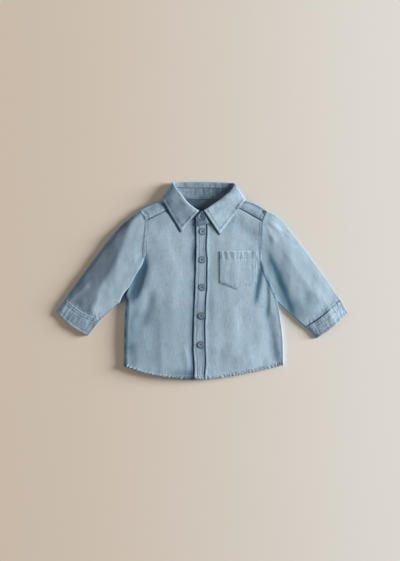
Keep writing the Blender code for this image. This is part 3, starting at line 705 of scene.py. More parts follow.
def lift(x, y):
    """1 where the collar lies underneath, 0 well away from it."""
    return smooth(y, LIFT["y0"], LIFT["y1"]) * smooth(abs(x), LIFT["x0"], LIFT["x1"])


def not_below(height, lowest, soft):
    """The height, held softly above a lowest one."""
    over = height - lowest
    return lowest + (over + np.sqrt(over ** 2 + soft)) / 2


def ripples(x, y, rows):
    """Several ripples at once: for each, its height, its lumps' sizes and its seed."""
    return sum(height * ripple(x, y, *lumps) for height, *lumps in rows)


def level(x, y):
    """Upper face of the upper layer where nothing folds it."""
    out = np.minimum(abs(x), CROWN_HALF) / CROWN_HALF
    return LEVEL + CROWN * (0.5 - out ** 2) + ripples(x, y, LEVEL_RIPPLES)


def lie(x, y):
    """Upper face of the upper layer at a place in plan, before any seam shapes it."""
    height = level(x, y)
    for seed, row in enumerate(FOLDS.values()):
        height += row[-2] * fold(x, y, row, seed)
    return not_below(height + LIFT["front"] * lift(x, y), LOWEST, 0.8 ** 2)


def placket_at(across, share):
    """Place between the placket's edges, from free to sewn, at a share of its length."""
    free, sewn = (Line(points).at(share) for points, _ in PLACKET_EDGES.values())
    return free + across * (sewn - free)


def placket_waver(y, seed):
    """How far the placket's edge strays sideways."""
    return 0.45 * ripple(y, 0.0, 13.0, 1.0, seed)


def placket_edge(name, aside=0.0):
    """One edge of the placket as it wavers, from the top down, moved aside."""
    points, seed = PLACKET_EDGES[name]
    line = Line(points).at(np.linspace(0.0, 1.0, 41))
    line[:, 0] += placket_waver(line[:, 1], seed) + aside
    return line


def past_placket(name, x, y):
    """Way from one edge of the placket towards the wearer's left."""
    points, seed = PLACKET_EDGES[name]
    line = Line(points).at(np.linspace(0.0, 1.0, 60))
    return x - np.interp(y, line[::-1, 1], line[::-1, 0]) - placket_waver(y, seed)


def button_pull(y):
    """1 level with a button and 0 away from all of them."""
    return sum(hump(y, button[1], 5.5) for button in BUTTONS)


def placket_grooves(x, y):
    """Height of the fronts along the placket: they sink along its free edge, and stand over
    its sewn edge in a puckered ridge."""
    from_free = past_placket("free", x, y)
    from_sewn = past_placket("sewn", x, y) - PLACKET_PULL * button_pull(y)
    left = 0.15 * np.exp(-0.5 * (from_free / np.where(from_free < 0, 4.5, 3.0)) ** 2)
    pull = 1.0 + 0.3 * ripple(y, 0.0, 12.0, 1.0, 25) + 0.4 * button_pull(y)
    drop = 0.9 * pull * smooth(from_sewn, 1.9, 0.2) * smooth(from_sewn, -14.0, -9.0)
    ridge = 0.15 * pull * np.exp(-0.5 * ((from_sewn - 3.0) / 1.7) ** 2)
    return ridge - left - drop


def placket_shade(x, y, side):
    """Painted shade on the fronts beside the placket's edges: 0 on top, 1 and more in the gap."""
    off = past_placket("sewn" if side == "left" else "free", x, y)
    if side == "left":
        ink = 1.05 + 0.25 * button_pull(y) + 0.2 * ripple(y, 0.0, 17.0, 1.0, 27)
        ink = ink * smooth(y, -151.0, -144.0)
        return ink * smooth(off, 2.3, 1.3) - 0.10 * hump(off, 3.2, 0.8)
    heights, strengths = np.array(PLACKET_SHADOW).T
    strength = np.interp(y, heights, strengths)
    shade = 1.2 * smooth(off, -2.7, -1.9) + 0.10 * smooth(off, -30.0, -12.0)
    return shade + strength * smooth(off, -13.0, -2.0) ** 1.5


def collar_shade(x, y):
    """How much painted shadow the collar's leaves lay on the cloth beside their shaded edges."""
    shade = 0.0 * x
    for edge in LEAF_SHADED:
        line = Line(edge).at(np.linspace(0.0, 1.0, 48))
        gap = np.min(np.hypot(x[..., None] - line[:, 0], y[..., None] - line[:, 1]), axis=-1)
        reach = 3.0 + 1.3 * smooth(y, 98.0, 108.0) * smooth(x, 0.0, -20.0)
        shade = np.maximum(shade, smooth(gap, reach, reach - 1.3))
    return shade


def neckline(side):
    """Lower seam of the collar band on one side, from the closure up to the shoulder fold."""
    return Line([BAND_START[side]] + NECK[side])


def make_front(side):
    sign = inwards(side)
    inner = Line(placket_at(FRONTS_MEET, np.linspace(1.0, 0.0, 17))).beside(-sign * 0.2)
    bottom = hem_line(side, inner.at(0.0)[0])
    neck = neckline(side)
    neck = neck.part(0.0, neck.share_at_y(EDGES[side]["yoke_seam"][0][1])).beside(-sign * 0.6)
    top = Line([inner.at(1.0)] + list(neck.points[1:]), dense=True)
    top = top.then(edge_line(side, "yoke_seam", sign * LAP))
    armhole = edge_line(side, "armhole").part(0.0, 0.98).back()
    outer = edge_line(side, "side").then(armhole)
    us = spaced(118.0, 0.62, 1.35, 9.5)
    vs = spaced(244.0, 0.62, 1.45, 9.0)
    panel = Panel(bottom, top, inner, outer, us, vs)
    x, y = panel.x, panel.y
    corner = outer.share_at_y(EDGES[side]["side"][-1][1])
    on_side = smooth(panel.v, corner + 0.05, corner - 0.02)
    on_armhole = 1.0 - on_side
    from_side, from_hem = panel.off["outer"], panel.off["bottom"]
    z = lie(x, y) + placket_grooves(x, y)
    z -= CLOTH * smooth(panel.off["top"], 5.0, 0.5)
    if side == "left":
        standing = on_armhole * smooth(y, 45.0, 15.0)
        z -= 2.6 * standing * smooth(from_side, 0.9, 0.1)
    z -= (z - SIDE_RIM[side]) * on_side * rounding(from_side, SIDE_REACH[side])
    z -= (z - 1.2) * on_side * smooth(from_side, 0.5, 0.0)
    if side == "left":
        upright = (on_side + standing) * smooth(from_side, 1.6, 0.9)
        reach = outer.at(panel.v)
        x = x + upright * (reach[..., 0] - x)
    z -= (z - HEM_LOW) * 0.68 * rounding(from_hem, 2.2)
    if side == "right":
        on_armhole = on_armhole * smooth(y, 20.0, 44.0)
    armhole_seam = on_armhole * seam_band(from_side, panel.up, ARMHOLE_WIDTH, 31, 0.15)
    side_seam = on_side * 0.16 * ripple(panel.up, from_side, 5.0, 8.0, 33) * smooth(from_side, 12.0, 2.0)
    hem_seam = seam_band(from_hem, panel.out, HEM_WIDTH, 35, 0.22, 5.0, 0.9)
    hem_seam += roping(from_hem, panel.out, HEM_WIDTH, 4.4, 39, 0.27, 0.35)
    streaks = 0.025 * ripple(x, y, 2.4, 14.0, 37)
    rise = armhole_seam + side_seam + hem_seam
    z = z + rise + streaks + seam_step(from_hem, HEM_WIDTH, 0.4)
    z += on_armhole * seam_step(from_side, ARMHOLE_WIDTH, 0.05)
    edge = np.minimum(from_hem, np.where(on_armhole > 0.5, from_side, 9.0))
    # Painted shade: in the folds, beside the placket, in the hem's twists, under the yoke's edge, along
    # the stitches, along the side edges and under the collar's leaves
    deep = np.minimum(hollow(x, y, FOLDS.values()), 1.45) + placket_shade(x, y, side)
    rope = roping(from_hem, panel.out, HEM_WIDTH, 4.4, 39, 1.0, 0.35)
    deep += 0.95 * smooth(rope, -0.05, -0.6) * smooth(from_hem, 4.2, 2.4)
    deep += 0.85 * smooth(panel.off["top"], 3.2, 1.9) * smooth(abs(x), 40.0, 52.0)
    deep += stitch_shade(from_hem, panel.out, HEM_WIDTH, 0.2)
    for away, shade in ARMHOLE_ROWS:
        deep += on_armhole * stitch_shade(from_side, panel.up, away, shade)
    if side == "right":
        uneven = 0.66 + 0.4 * ripple(y, 0.0, 15.0, 1.0, 28)
        deep += on_side * uneven * smooth(from_side, 5.0, 2.0)
    else:
        deep += 0.65 * on_side * smooth(from_side, 4.5, 1.0) * smooth(from_side, 0.2, 1.4)
        deep += 0.35 * standing * smooth(from_side, 3.2, 1.4)
        joined = (0.2 + 0.6 * smooth(y, -10.0, 20.0)) * standing
        joined += 0.9 * on_armhole * smooth(y, 30.0, 50.0)
        deep += joined * smooth(from_side, 1.1, 0.3)
    deep = np.maximum(np.maximum(deep, 0.0), 1.5 * collar_shade(x, y))
    sheet = skin(x, y, z, (x, y), edge, rise, deep, flip=side == "right")
    return shell("front_cloth_" + side, [sheet], BODY_CLOTH, "front_" + side)


for side in ("left", "right"):
    front = make_front(side)

# ---- Yoke ------------------------------------------------------------------------------
# One piece of chambray across the back below the collar. It turns over both shoulders and is
# lapped and twice stitched onto the fronts.
YOKE_ROWS = (1.3, 4.9)    # from its front seam to its stitches
YOKE_FOLD = 2.4       # how far the turned shoulder stands past the flat layers
YOKE_PAINTED_SHADE = {"left": 0.40, "right": 0.06}    # painted shade on its front flaps, and twice that on its turned shoulders
TRIM_PAINTED_SHADE_TINT = (0.220, 0.270, 0.330, 1.0)       # painted shade: the tint that darkens the yoke and trimmings where they are painted shaded
YOKE_CLOTH = chambray("chambray_yoke", 0.6, TRIM_PAINTED_SHADE_TINT)


def turned_under(x, y):
    """Lower face of the yoke's back sheet, lifted where the collar lies below it."""
    return GROUND - CLOTH + LIFT["back"] * lift(x, y)


def make_yoke():
    left_neck, right_neck = NECK["left"][-1], NECK["right"][-1]
    neck = Line([
        (right_neck[0] - 0.8, right_neck[1] - 1.0),
        (-39.5, 127.4), (-20.0, 125.8), (2.0, 125.2), (24.0, 125.8), (44.0, 127.6),
        (left_neck[0] + 0.8, left_neck[1] - 1.0),
    ])
    neck_ends = {"right": neck.at(0.0), "left": neck.at(1.0)}
    low = Line([(neck_ends["right"][0], YOKE_BACK_Y), (neck_ends["left"][0], YOKE_BACK_Y)])
    inner = Line([low.at(0.0), neck_ends["right"]])
    outer = Line([low.at(1.0), neck_ends["left"]])
    vs = np.linspace(0.0, 1.0, 43)
    panel = Panel(low, neck, inner, outer, np.linspace(0.0, 1.0, 71), vs)
    rim = smooth(abs(panel.u - 0.5), 0.42, 0.5)
    y = panel.y - YOKE_FOLD * panel.v ** 2 * rim
    seam = seam_band(panel.off["top"], panel.out, 3.2, 41, 0.16) * (1.0 - rim)
    wave = 0.2 * ripple(panel.x, y, 9.0, 26.0, 43) * smooth(panel.v, 0.2, 0.6) * (1.0 - rim)
    raised = 0.2 * smooth(panel.v, 0.2, 0.6) * (1.0 - rim)
    z = turned_under(panel.x, y) + raised + wave + seam
    # painted shade: the back sheet, seen inside the neck, is painted fully shaded
    skins = [skin(panel.x, y, z, (y, panel.x), 9.0, seam, 1.0, flip=True)]
    for side in ("left", "right"):
        skins += make_shoulder(side, neck_ends[side], vs)
    return shell("yoke_cloth", skins, YOKE_CLOTH, "yoke")


def make_shoulder(side, neck_end, vs):
    """One shoulder of the yoke: its part of the back sheet, the turned fold and the front flap."""
    sign = inwards(side)
    armhole = edge_line(side, "yoke_end").then(edge_line(side, "armhole"))
    under_end = armhole.part(0.0, armhole.share_at_y(YOKE_BACK_Y)).back()
    over_end = armhole.part(0.0, armhole.share_at_y(EDGES[side]["yoke_seam"][-1][1]))
    ridge = Line([neck_end] + EDGES[side]["shoulder"] + [armhole.at(0.0)])
    low = Line([(neck_end[0], YOKE_BACK_Y), under_end.at(0.0)])
    neck_under = Line([low.at(0.0), neck_end])
    neck = neckline(side)
    neck = neck.part(neck.share_at_y(EDGES[side]["yoke_seam"][0][1]), 0.97).beside(-sign * 0.8)
    neck_over = Line([neck_end] + list(neck.points[::-1]), dense=True)
    seam_edge = Line([neck_over.at(1.0)] + list(edge_line(side, "yoke_seam").points[2:]), dense=True)
    us = spaced(48.0, 0.62, 1.2, 6.0)
    under = Panel(low, ridge, neck_under, under_end, us, vs)
    under_y = under.y - YOKE_FOLD * under.v ** 2
    under_z = turned_under(under.x, under_y)
    downs = spaced(24.0, 0.6, 0.9, 6.0)
    over = Panel(ridge, seam_edge, neck_over, over_end, us, downs)
    over_y = over.y - YOKE_FOLD * (1.0 - over.v) ** 2
    from_seam, from_arm = over.off["top"], over.off["outer"]
    rise = seam_band(from_seam, over.out, 5.0, 45, 0.2)
    rise += seam_band(from_arm, over.up, ARMHOLE_WIDTH, 47, 0.2)
    rise -= 0.25 * hump(from_seam, 1.4, 0.7)
    step = seam_step(from_seam, 5.0, 0.06) + seam_step(from_arm, ARMHOLE_WIDTH, 0.06)
    from_fold = over.off["bottom"]
    held = smooth(from_fold, 0.0, 5.0)
    over_z = lie(over.x, over_y) + 0.25 + (rise + step) * held - 1.7 * smooth(from_fold, 15.0, 0.0)
    angle = np.linspace(0.0, math.pi, 13)[:, None]
    crest_x, crest_y = under.x[-1], ridge.at(us)[:, 1]
    turn_y = crest_y - YOKE_FOLD * (1.0 - np.sin(angle))
    turn_z = (under_z[-1] + over_z[0]) / 2 - np.cos(angle) * (over_z[0] - under_z[-1]) / 2
    turn_x = crest_x + 0 * angle
    flip = side == "right"
    ground = (under.y, under.x)
    round_it = (crest_y + 4.0 * angle, turn_x)
    flap = (150.0 - over.y, over.x)
    edge = np.minimum(from_seam, from_arm)
    # Painted shade: on the flap, along its stitches and armhole edge, under the collar's leaves, and twice
    # the flap's on the turned fold
    deep = YOKE_PAINTED_SHADE[side] + sum(stitch_shade(from_seam, over.out, away) for away in YOKE_ROWS)
    deep = deep + stitch_shade(from_arm, over.up, ARMHOLE_ROWS[0][0]) + 0.8 * smooth(from_arm, 1.0, 0.2)
    deep += YOKE_PAINTED_SHADE[side] * smooth(from_fold, 3.5, 0.0)
    deep = np.maximum(deep, 1.2 * collar_shade(over.x, over_y))
    return [
        skin(under.x, under_y, under_z, ground, 9.0, 0.0, flip=not flip),
        skin(turn_x, turn_y, turn_z, round_it, 9.0, 0.0, 2.0 * YOKE_PAINTED_SHADE[side], flip=not flip),
        skin(over.x, over_y, over_z, flap, edge, rise, deep, not flip),
    ]


yoke = make_yoke()

# ---- Sleeves ---------------------------------------------------------------------------
# One-piece long sleeves of chambray, laid flat as tubes. They stand fuller than the body and
# fall away to their outer edge, with one long fold from the underarm to the cuff.

# How far in from its edge a tube's side starts to turn, and the edge's share of the full height
RIM_REACH = {"lit": 0.4, "shaded": 8.5, "close": 1.8, "below": 2.2}
RIM_SHARE = {"lit": 0.97, "shaded": 0.28, "close": 0.5}
UNDER_FALL = 0.045    # the left sleeve's fall towards its under edge, a millimetre
UNDER_FACE = 0.05     # height of a tube's under face above the paper
# painted shade on a tube's under face, where it shows at the edges
UNDERSIDE_PAINTED_SHADE = 0.7
SLEEVE_PUFF = {"left": 0.15, "right": 0.75}
SLEEVE_LOWEST = 1.7    # the left sleeve's upper face stays above this, clear of its under face
# Past these lines the sleeves fall away to their outer edge, by this height a millimetre
SLEEVE_FALL = {
    "right": {
        "slope": 0.04,
        "line": [(-106, 96), (-112, 89), (-124.5, 55.5), (-141, 19), (-157, -6), (-166, -31), (-172, -45)],
    },
    "left": {"slope": 0.095, "line": [(112, 96), (122, 70), (140, 30), (153, 0), (164, -30), (172, -55)]},
}
SLEEVE_RIPPLES = ((0.35, 26.0, 34.0, 81), (0.1, 9.0, 16.0, 82))
SLEEVE_SEED = 60
SLEEVE_FOLDS = {
    "right": {
        "outer_ridge": (-174, -6, -204, -32, 0, 4, 3, 0.6, -0.28),
        "top_dent": (-117, 92, -127, 70, 0, 4, 6, -0.6, 0.30),
        "armhole_shade": (-94, 84, -95, 56, 0, 4, 5, 0.0, 0.12),
        "underarm_shade": (-92, 52, -98, 26, 0, 5, 5, 0.0, 0.28),
        "inner_ridge": (-110, 40, -143, -34, -3, 12, 7, 0.5, 0.0),
        "inner_crease": (-120, 60, -150, -2, -2, 5, 4, -0.35, 0.08),
        "elbow_shade": (-117, 12, -132, -26, 0, 6, 5, 0.0, 0.22),
        "outer_light": (-156, -14, -188, -48, 0, 7, 7, 0.0, -0.24),
        "wrist_fold": (-150, -30, -176, -52, 0, 9, 7, 0.6, 0.0),
    },
    "left": {
        "crown": (124, 56, 163, -52, -6, 21, 12, 0.25, 0.0),
        "underarm_valley": (105, 38, 144, -60, 0, 11, 9, -0.55, 0.0),
        "underarm_shade": (105, 42, 146, -60, 0, 4.2, 4.2, 0.0, 1.1),
        "outer_trough": (150, 4, 172, -40, -2, 7, 7, -0.5, 0.14),
        "outer_ridge": (150, 56, 206, -14, -4, 9, 10, 0.8, 0.0),
        "shoulder_crease_1": (103, 92, 122, 76, 0, 2.5, 2.5, 0.5, 0.0),
        "shoulder_crease_2": (101, 84, 113, 58, 0, 2.5, 2.5, 0.4, 0.0),
        "wrist_fold": (176, -16, 200, -44, 0, 5, 5, 0.5, 0.0),
        "wrist_shade": (160, -24, 192, -68, 0, 11, 13, 0.0, 0.30),
    },
}
# The two sleeves' finishes differ only in the tint of their painted shade: bluer on the left, greyer on
# the right
SLEEVE_CLOTH = {
    "left": chambray("chambray_sleeve_left", 0.6, (0.15, 0.34, 0.44, 1.0)),
    "right": chambray("chambray_sleeve_right", 0.6, (0.31, 0.325, 0.36, 1.0)),
}


def tube_skin(edges, start, end, lengths, over_level, seams, counts, turns):
    """A flattened tube: start and end run from its top edge to its under edge. Rings go along
    it, and the points of a ring go over its upper face and back below. Turns name how its top
    and under edges turn, and seams is how far its under face rises into both ends."""
    top, under = edges
    ends = np.stack([start.at(0.0), start.at(1.0), end.at(0.0), end.at(1.0)])
    first_width = np.linalg.norm(ends[1] - ends[0])
    last_width = np.linalg.norm(ends[3] - ends[2])
    turn = np.linspace(0.0, math.pi / 2, 9)
    reaches = [RIM_REACH[kind] for kind in turns]
    rings = []
    for u in lengths:
        width = first_width + u * (last_width - first_width)
        sides = []
        below = (RIM_REACH["below"], RIM_REACH["below"])
        for (first, last), count in ((reaches, counts[0]), (below, counts[1])):
            rim = (1.0 - np.cos(turn)) / width
            middle = np.linspace(first * rim[-1], 1.0 - last * rim[-1], count)[1:-1]
            sides.append(np.concatenate([first * rim, middle, (1.0 - last * rim)[::-1]]))
        rings.append(np.concatenate([sides[0], sides[1][::-1][1:-1]]))
    v = np.array(rings)
    above = len(sides[0])
    u = np.broadcast_to(np.asarray(lengths)[:, None], v.shape)
    place = coons(start, end, top, under, v, u)
    x, y = place[..., 0], place[..., 1]
    off_top, off_under, from_start, from_end = (
        np.linalg.norm(place - coons(start, end, top, under, *side), axis=-1)
        for side in ((0 * v, u), (0 * v + 1, u), (v, 0 * u), (v, 0 * u + 1))
    )
    is_over = np.arange(v.shape[1])[None, :] < above
    from_top = off_top / np.where(is_over, reaches[0], RIM_REACH["below"])
    from_under = off_under / np.where(is_over, reaches[1], RIM_REACH["below"])
    low = 1.0 - np.clip(np.minimum(from_top, from_under), 0.0, 1.0)
    share = np.sqrt(1.0 - low ** 2)
    by_top = off_top / reaches[0] < off_under / reaches[1]
    widths = first_width + u * (last_width - first_width)
    upper, rise = over_level(x, y, from_start, from_end, v * widths)
    lower = UNDER_FACE + seams * (smooth(from_start, 4.0, 1.8) + smooth(from_end, 4.0, 1.8))
    rims = []
    for kind, side in zip(turns, (0.0, 1.0)):
        rim_x, rim_y = np.moveaxis(coons(start, end, top, under, 0 * v + side, u), -1, 0)
        rims.append(RIM_SHARE[kind] * over_level(rim_x, rim_y, from_start, from_end, 0 * v)[0])
    rim = np.where(by_top, rims[0], rims[1])
    z = np.where(is_over, rim + (upper - rim) * share, rim + (lower - rim) * share)
    long = 0.5 * (top.length + under.length)
    grain = (np.where(is_over, off_top, -off_top), u * long)
    edge = np.minimum(from_start, from_end)
    return x, y, z, grain, edge, np.where(is_over, rise * share, 0.0), is_over, off_top, off_under


def tube_edges(side, name, start, end, first=0.0):
    """Top and under edges of a tube between the lines at its two ends."""
    top = Line([start.at(first)] + EDGES[side][name + "_top"][1:-1] + [end.at(0.0)])
    under = Line([start.at(1.0)] + EDGES[side][name + "_under"][1:-1] + [end.at(1.0)])
    return top, under


def past_crest(side, x, y):
    """How far a place lies towards the sleeve's outer edge from where it starts to fall."""
    line = Line(SLEEVE_FALL[side]["line"]).points[::-1]
    return inwards(side) * (x - np.interp(y, line[:, 1], line[:, 0])) * 0.9


def sleeve_fall(side, x, y):
    """How far the sleeve has fallen below its level part."""
    past = past_crest(side, x, y)
    return SLEEVE_FALL[side]["slope"] * (past + np.sqrt(past ** 2 + 25.0)) / 2


CUFF_LEVEL = 5.6
CUFF_CREST = 26.0     # the left cuff is highest this far from its top edge
CUFF_FALL = {"left": 0.3, "right": 1.9}    # how much lower a cuff's open end lies


def cuff_level(side, across):
    """Upper face of a cuff where it meets the sleeve, by the way from its top edge."""
    if side == "right":
        return CUFF_LEVEL + 0.8 * smooth(across, 15.0, 42.0)
    lower, upper = np.maximum(across - CUFF_CREST, 0.0), np.maximum(CUFF_CREST - across, 0.0)
    return CUFF_LEVEL - 0.05 * lower - 0.10 * upper


def armpit_gap(y):
    """How far the right sleeve's edge draws back from the body at its underarm."""
    return 7.0 * np.clip((4.0 - y) / 32.0, 0.0, 1.0) + 6.0 * smooth(y, -10.0, -24.0)


def make_sleeve(side):
    """A sleeve as one flattened tube, from under the armhole's seam to under the cuff's."""
    sign = inwards(side)
    start = edge_line(side, "yoke_end").then(edge_line(side, "armhole")).beside(-sign * LAP)
    end = edge_line(side, "wrist", sign * LAP)
    edges = tube_edges(side, "sleeve", start, end, 0.006)
    lengths = spaced(120.0, 0.75, 1.45, 8.0)

    def over_level(x, y, from_start, from_end, across):
        over_body = smooth(y, 46.0, 18.0) if side == "right" else 0.0 * y
        away = np.maximum(smooth(from_start, 0.5, 20.0), over_body)
        near = smooth(from_start, 12.0, 2.0) * (1.0 - over_body)
        z = level(x, y) + near * (lie(x, y) - level(x, y))
        z = z + SLEEVE_PUFF[side] * away - sleeve_fall(side, x, y)
        sunk = 1.0 if side == "left" else 0.55 + 0.45 * smooth(from_start, 0.0, 6.0)
        for seed, row in enumerate(SLEEVE_FOLDS[side].values()):
            z += (away if row[-2] > 0 else sunk) * row[-2] * fold(x, y, row, SLEEVE_SEED + seed)
        z += away * ripples(x, y, SLEEVE_RIPPLES)
        tuck = smooth(from_start, 2.2, 1.0)
        gap = armpit_gap(y)
        drop = 0.7 + 1.2 * smooth(gap, 0.0, 3.0)
        z = z - 0.45 * tuck * (1.0 - over_body) - drop * smooth(from_start, gap + 0.8, gap) * over_body
        if side == "left":
            z -= UNDER_FALL * np.maximum(across - 30.0, 0.0)
            z = not_below(z, SLEEVE_LOWEST, 0.5)
        gathers = 0.30 * ripple(across, from_end, 4.2, 12.0, 83) * smooth(from_end, 13.0, 1.0)
        eased = 0.14 * ripple(across, from_start, 5.0, 9.0, 84) * smooth(from_start, 10.0, 1.0)
        close = smooth(from_end, 15.0, 1.0)
        z += (cuff_level(side, across) - (0.4 if side == "left" else 0.6) - z) * close ** 1.5
        return z + gathers + eased, gathers + eased

    turns = ("lit", "close") if side == "left" else ("shaded", "lit")
    parts = tube_skin(edges, start, end, lengths, over_level, 0.62, (86, 34), turns)
    x, y, z, grain, edge, rise, is_over, from_top, from_under = parts
    # Painted shade: a dark line beside its seams at both ends, a painted shadow in the armpit's gap, the
    # folds' shade, the outer part past the crest, over the lit edges and on the under face
    seam = 1.35 * hump(edge, 2.4, 0.8)
    gap = armpit_gap(y)
    wedge = smooth(edge, gap + 0.3, gap - 0.6) * smooth(gap, 0.6, 2.5) * smooth(x, -140.0, -134.0)
    worn_edge = np.where(edge < 4.0, 9.0, edge)
    deep = hollow(x, y, SLEEVE_FOLDS[side].values(), SLEEVE_SEED)
    if side == "right":
        past = past_crest(side, x, y)
        fallen = smooth(past, -8.0, 2.0)
        deep = deep + 0.98 * fallen - 0.3 * smooth(grain[0], 10.0, 2.0)
        deep -= 0.4 * smooth(edge, 13.0, 3.0) * smooth(x, -140.0, -150.0) * fallen
        deep = np.maximum(np.maximum(deep, 2.2 * wedge), 0.0) + smooth(y, 26.0, 38.0) * seam
        beside_body = smooth(y, 46.0, 18.0) * smooth(x, -140.0, -134.0)
        deep += 0.6 * beside_body * smooth(edge, gap + 1.2, gap)
        deep += 0.6 * smooth(from_under, 3.2, 0.3)
        below_gap = smooth(y, -20.0, -27.0) * smooth(y, -42.0, -34.0)
        deep += 1.4 * smooth(from_under, 2.4, 1.0) * below_gap
    else:
        covered = smooth(y, 50.0, 80.0) + smooth(y, -34.0, -54.0)
        deep = np.maximum(deep, 0.0) + covered * seam + 0.1 * smooth(from_top, 3.2, 0.3)
        deep += 0.9 * smooth(from_under, 1.5, 0.5) * smooth(y, -28.0, -38.0)
    deep = np.where(is_over, deep, UNDERSIDE_PAINTED_SHADE)
    sheet = skin(x, y, z, grain, worn_edge, rise, deep, side == "right", True)
    return shell("sleeve_cloth_" + side, [sheet], SLEEVE_CLOTH[side], "sleeve_" + side)


for side in ("left", "right"):
    sleeve = make_sleeve(side)

# ---- Cuffs -----------------------------------------------------------------------------
# Narrow doubled bands of chambray, lapped over the sleeves' gathered ends and stitched round
# both edges, which puckers them.
CUFF_LONG = 23.0
CUFF_ROWS = (2.0, 6.2)       # from the sleeve's seam to its stitches
CUFF_END_ROW = 4.6           # and from its open end
CUFF_PAINTED_SHADE = {"left": 0.0, "right": 0.26}    # painted shade over each cuff
CUFF_CLOTH = chambray("chambray_cuff", 0.75, TRIM_PAINTED_SHADE_TINT)


def make_cuff(side):
    start = edge_line(side, "wrist")
    end = edge_line(side, "cuff_end")
    edges = tube_edges(side, "cuff", start, end)
    lengths = np.linspace(0.0, 1.0, 38)

    def over_level(x, y, from_start, from_end, across):
        z = cuff_level(side, across) + 0.35 * ripple(x, y, 17.0, 17.0, 91)
        z -= CUFF_FALL[side] * from_start / CUFF_LONG
        calm = 0.9 if side == "left" else 1.0
        rise = seam_band(from_start, across, CUFF_ROWS[0], 92, 0.15, 3.2)
        rise += seam_band(from_start, across, CUFF_ROWS[1], 94, 0.15, 3.0)
        rise += seam_band(from_end, across, CUFF_END_ROW, 96, 0.16, 3.2)
        rise = calm * (0.8 * rise + 0.20 * ripple(across, from_start, 2.9, 15.0, 98))
        return z + rise, rise

    turns = ("lit", "shaded") if side == "left" else ("shaded", "lit")
    parts = tube_skin(edges, start, end, lengths, over_level, 0.0, (70, 30), turns)
    x, y, z, grain, edge, rise, _, from_top, from_under = parts
    from_lit = from_top if side == "left" else from_under
    across, along = grain
    # Painted shade over the cuff, along its lit edge and its ends, and on the left cuff's lower half and
    # open end
    deep = CUFF_PAINTED_SHADE[side] + 0.5 * smooth(from_lit, 2.6, 0.5) + 0.35 * smooth(edge, 0.9, 0.1)
    if side == "left":
        deep = deep + 0.30 * smooth(abs(across), 24.0, 50.0) + 0.20 * smooth(along, 15.0, 22.0)
    sheet = skin(x, y, z, (along, across), edge, rise, deep, side == "right", True)
    return shell("cuff_cloth_" + side, [sheet], CUFF_CLOTH, "cuff_" + side, 0.9)


for side in ("left", "right"):
    cuff = make_cuff(side)

# ---- Placket ---------------------------------------------------------------------------
# A doubled band of chambray down the wearer's left front, stitched along both edges and
# buttoned over the right front. It puffs between its buttons, and its edges waver.
PLACKET_ABOVE = 0.42  # how far its upper face stands above the fronts'
PLACKET_ROW = 3.9     # from its free edge to its stitches
SEWN_ROW = 3.4        # and from its sewn edge to those on the front
PLACKET_LOW = 2.3     # height of its rounded lower end
PLACKET_CLOTH = chambray("chambray_band", 0.75, TRIM_PAINTED_SHADE_TINT)


def placket_top(x, y, from_free, from_sewn):
    """Upper face of the placket, before its stitches."""
    middle = np.sin(math.pi * np.clip(from_free / (from_free + from_sewn), 0.0, 1.0))
    puff = (0.15 - 0.3 * button_pull(y)) * middle
    z = lie(x, y) + PLACKET_ABOVE + puff + 0.15 * ripple(x, y, 12.0, 19.0, 101)
    return z - 0.1 * smooth(from_sewn, 0.7, 0.0) + 0.15 * smooth(from_sewn, 8.0, 1.0)


def make_placket():
    free, sewn = placket_edge("free"), placket_edge("sewn")
    sewn[:, 0] += PLACKET_PULL * button_pull(sewn[:, 1])
    free, sewn = Line(free[::-1]), Line(sewn[::-1])
    bottom = Line([free.at(0.0), sewn.at(0.0)])
    top = Line([free.at(1.0), sewn.at(1.0)])
    us, vs = np.linspace(0.0, 1.0, 33), spaced(236.0, 0.6, 0.95, 8.0)
    panel = Panel(bottom, top, free, sewn, us, vs)
    x, y = panel.x, panel.y
    from_free, from_sewn, from_hem = panel.off["inner"], panel.off["outer"], panel.off["bottom"]
    z = placket_top(x, y, from_free, from_sewn)
    rise = seam_band(from_free, panel.up, PLACKET_ROW, 103, 0.14, 5.0)
    rise += 0.5 * seam_band(from_sewn, panel.up, 3.2, 105, 0.16, 5.0)
    rise += seam_band(from_hem, panel.out, HEM_WIDTH, 107, 0.2, 4.5, 0.5)
    rise += roping(from_hem, panel.out, HEM_WIDTH, 4.4, 108, 0.25)
    z -= (z - PLACKET_LOW) * 0.8 * rounding(from_hem, 3.4)
    # Painted shade: down its middle, in the gap at its sewn edge, along its free edge and stitches, in a
    # painted shadow round each button and under the collar's leaves
    middle = 1.0 + 1.2 * smooth(abs(y + 50.0), 24.0, 10.0)
    deep = 0.14 * smooth(from_hem, 4.0, 20.0) * middle + 0.15 * smooth(from_sewn, 6.0, 1.0)
    deep += 1.2 * smooth(from_sewn, 0.9, 0.2) * smooth(from_hem, 2.0, 9.0)
    deep = deep + 0.7 * smooth(from_free, 0.6, 0.0) + stitch_shade(from_free, panel.up, PLACKET_ROW, 0.2)
    for button_x, button_y, _, button_painted_shade in BUTTONS:
        off = np.hypot(x - button_x + 0.5, y - button_y + 0.5)
        deep += (0.3 + 2.0 * button_painted_shade) * smooth(off, 6.6, 5.1)
    deep = np.maximum(deep, 1.5 * collar_shade(x, y))
    sheet = skin(x, y, z + rise, (x, y), from_hem, rise, deep)
    return shell("placket_cloth", [sheet], PLACKET_CLOTH, "placket", 0.8)


placket = make_placket()

# ---- Pocket ----------------------------------------------------------------------------
# A pointed patch pocket of chambray on the left front, with a wide turned top. It is stitched
# twice round its sides, and its top stays open.
POCKET = {
    "left": 27.4, "right": 84.9, "top": 44.8, "corner": -3.9, "point": -14.3, "point_x": 55.0,
}
POCKET_HEM = 12.4     # width of its turned top
POCKET_ROWS = (1.7, 6.3)    # from its sewn edge to its two rows of stitches
POCKET_CLOTH = chambray("chambray_pocket", 0.7)


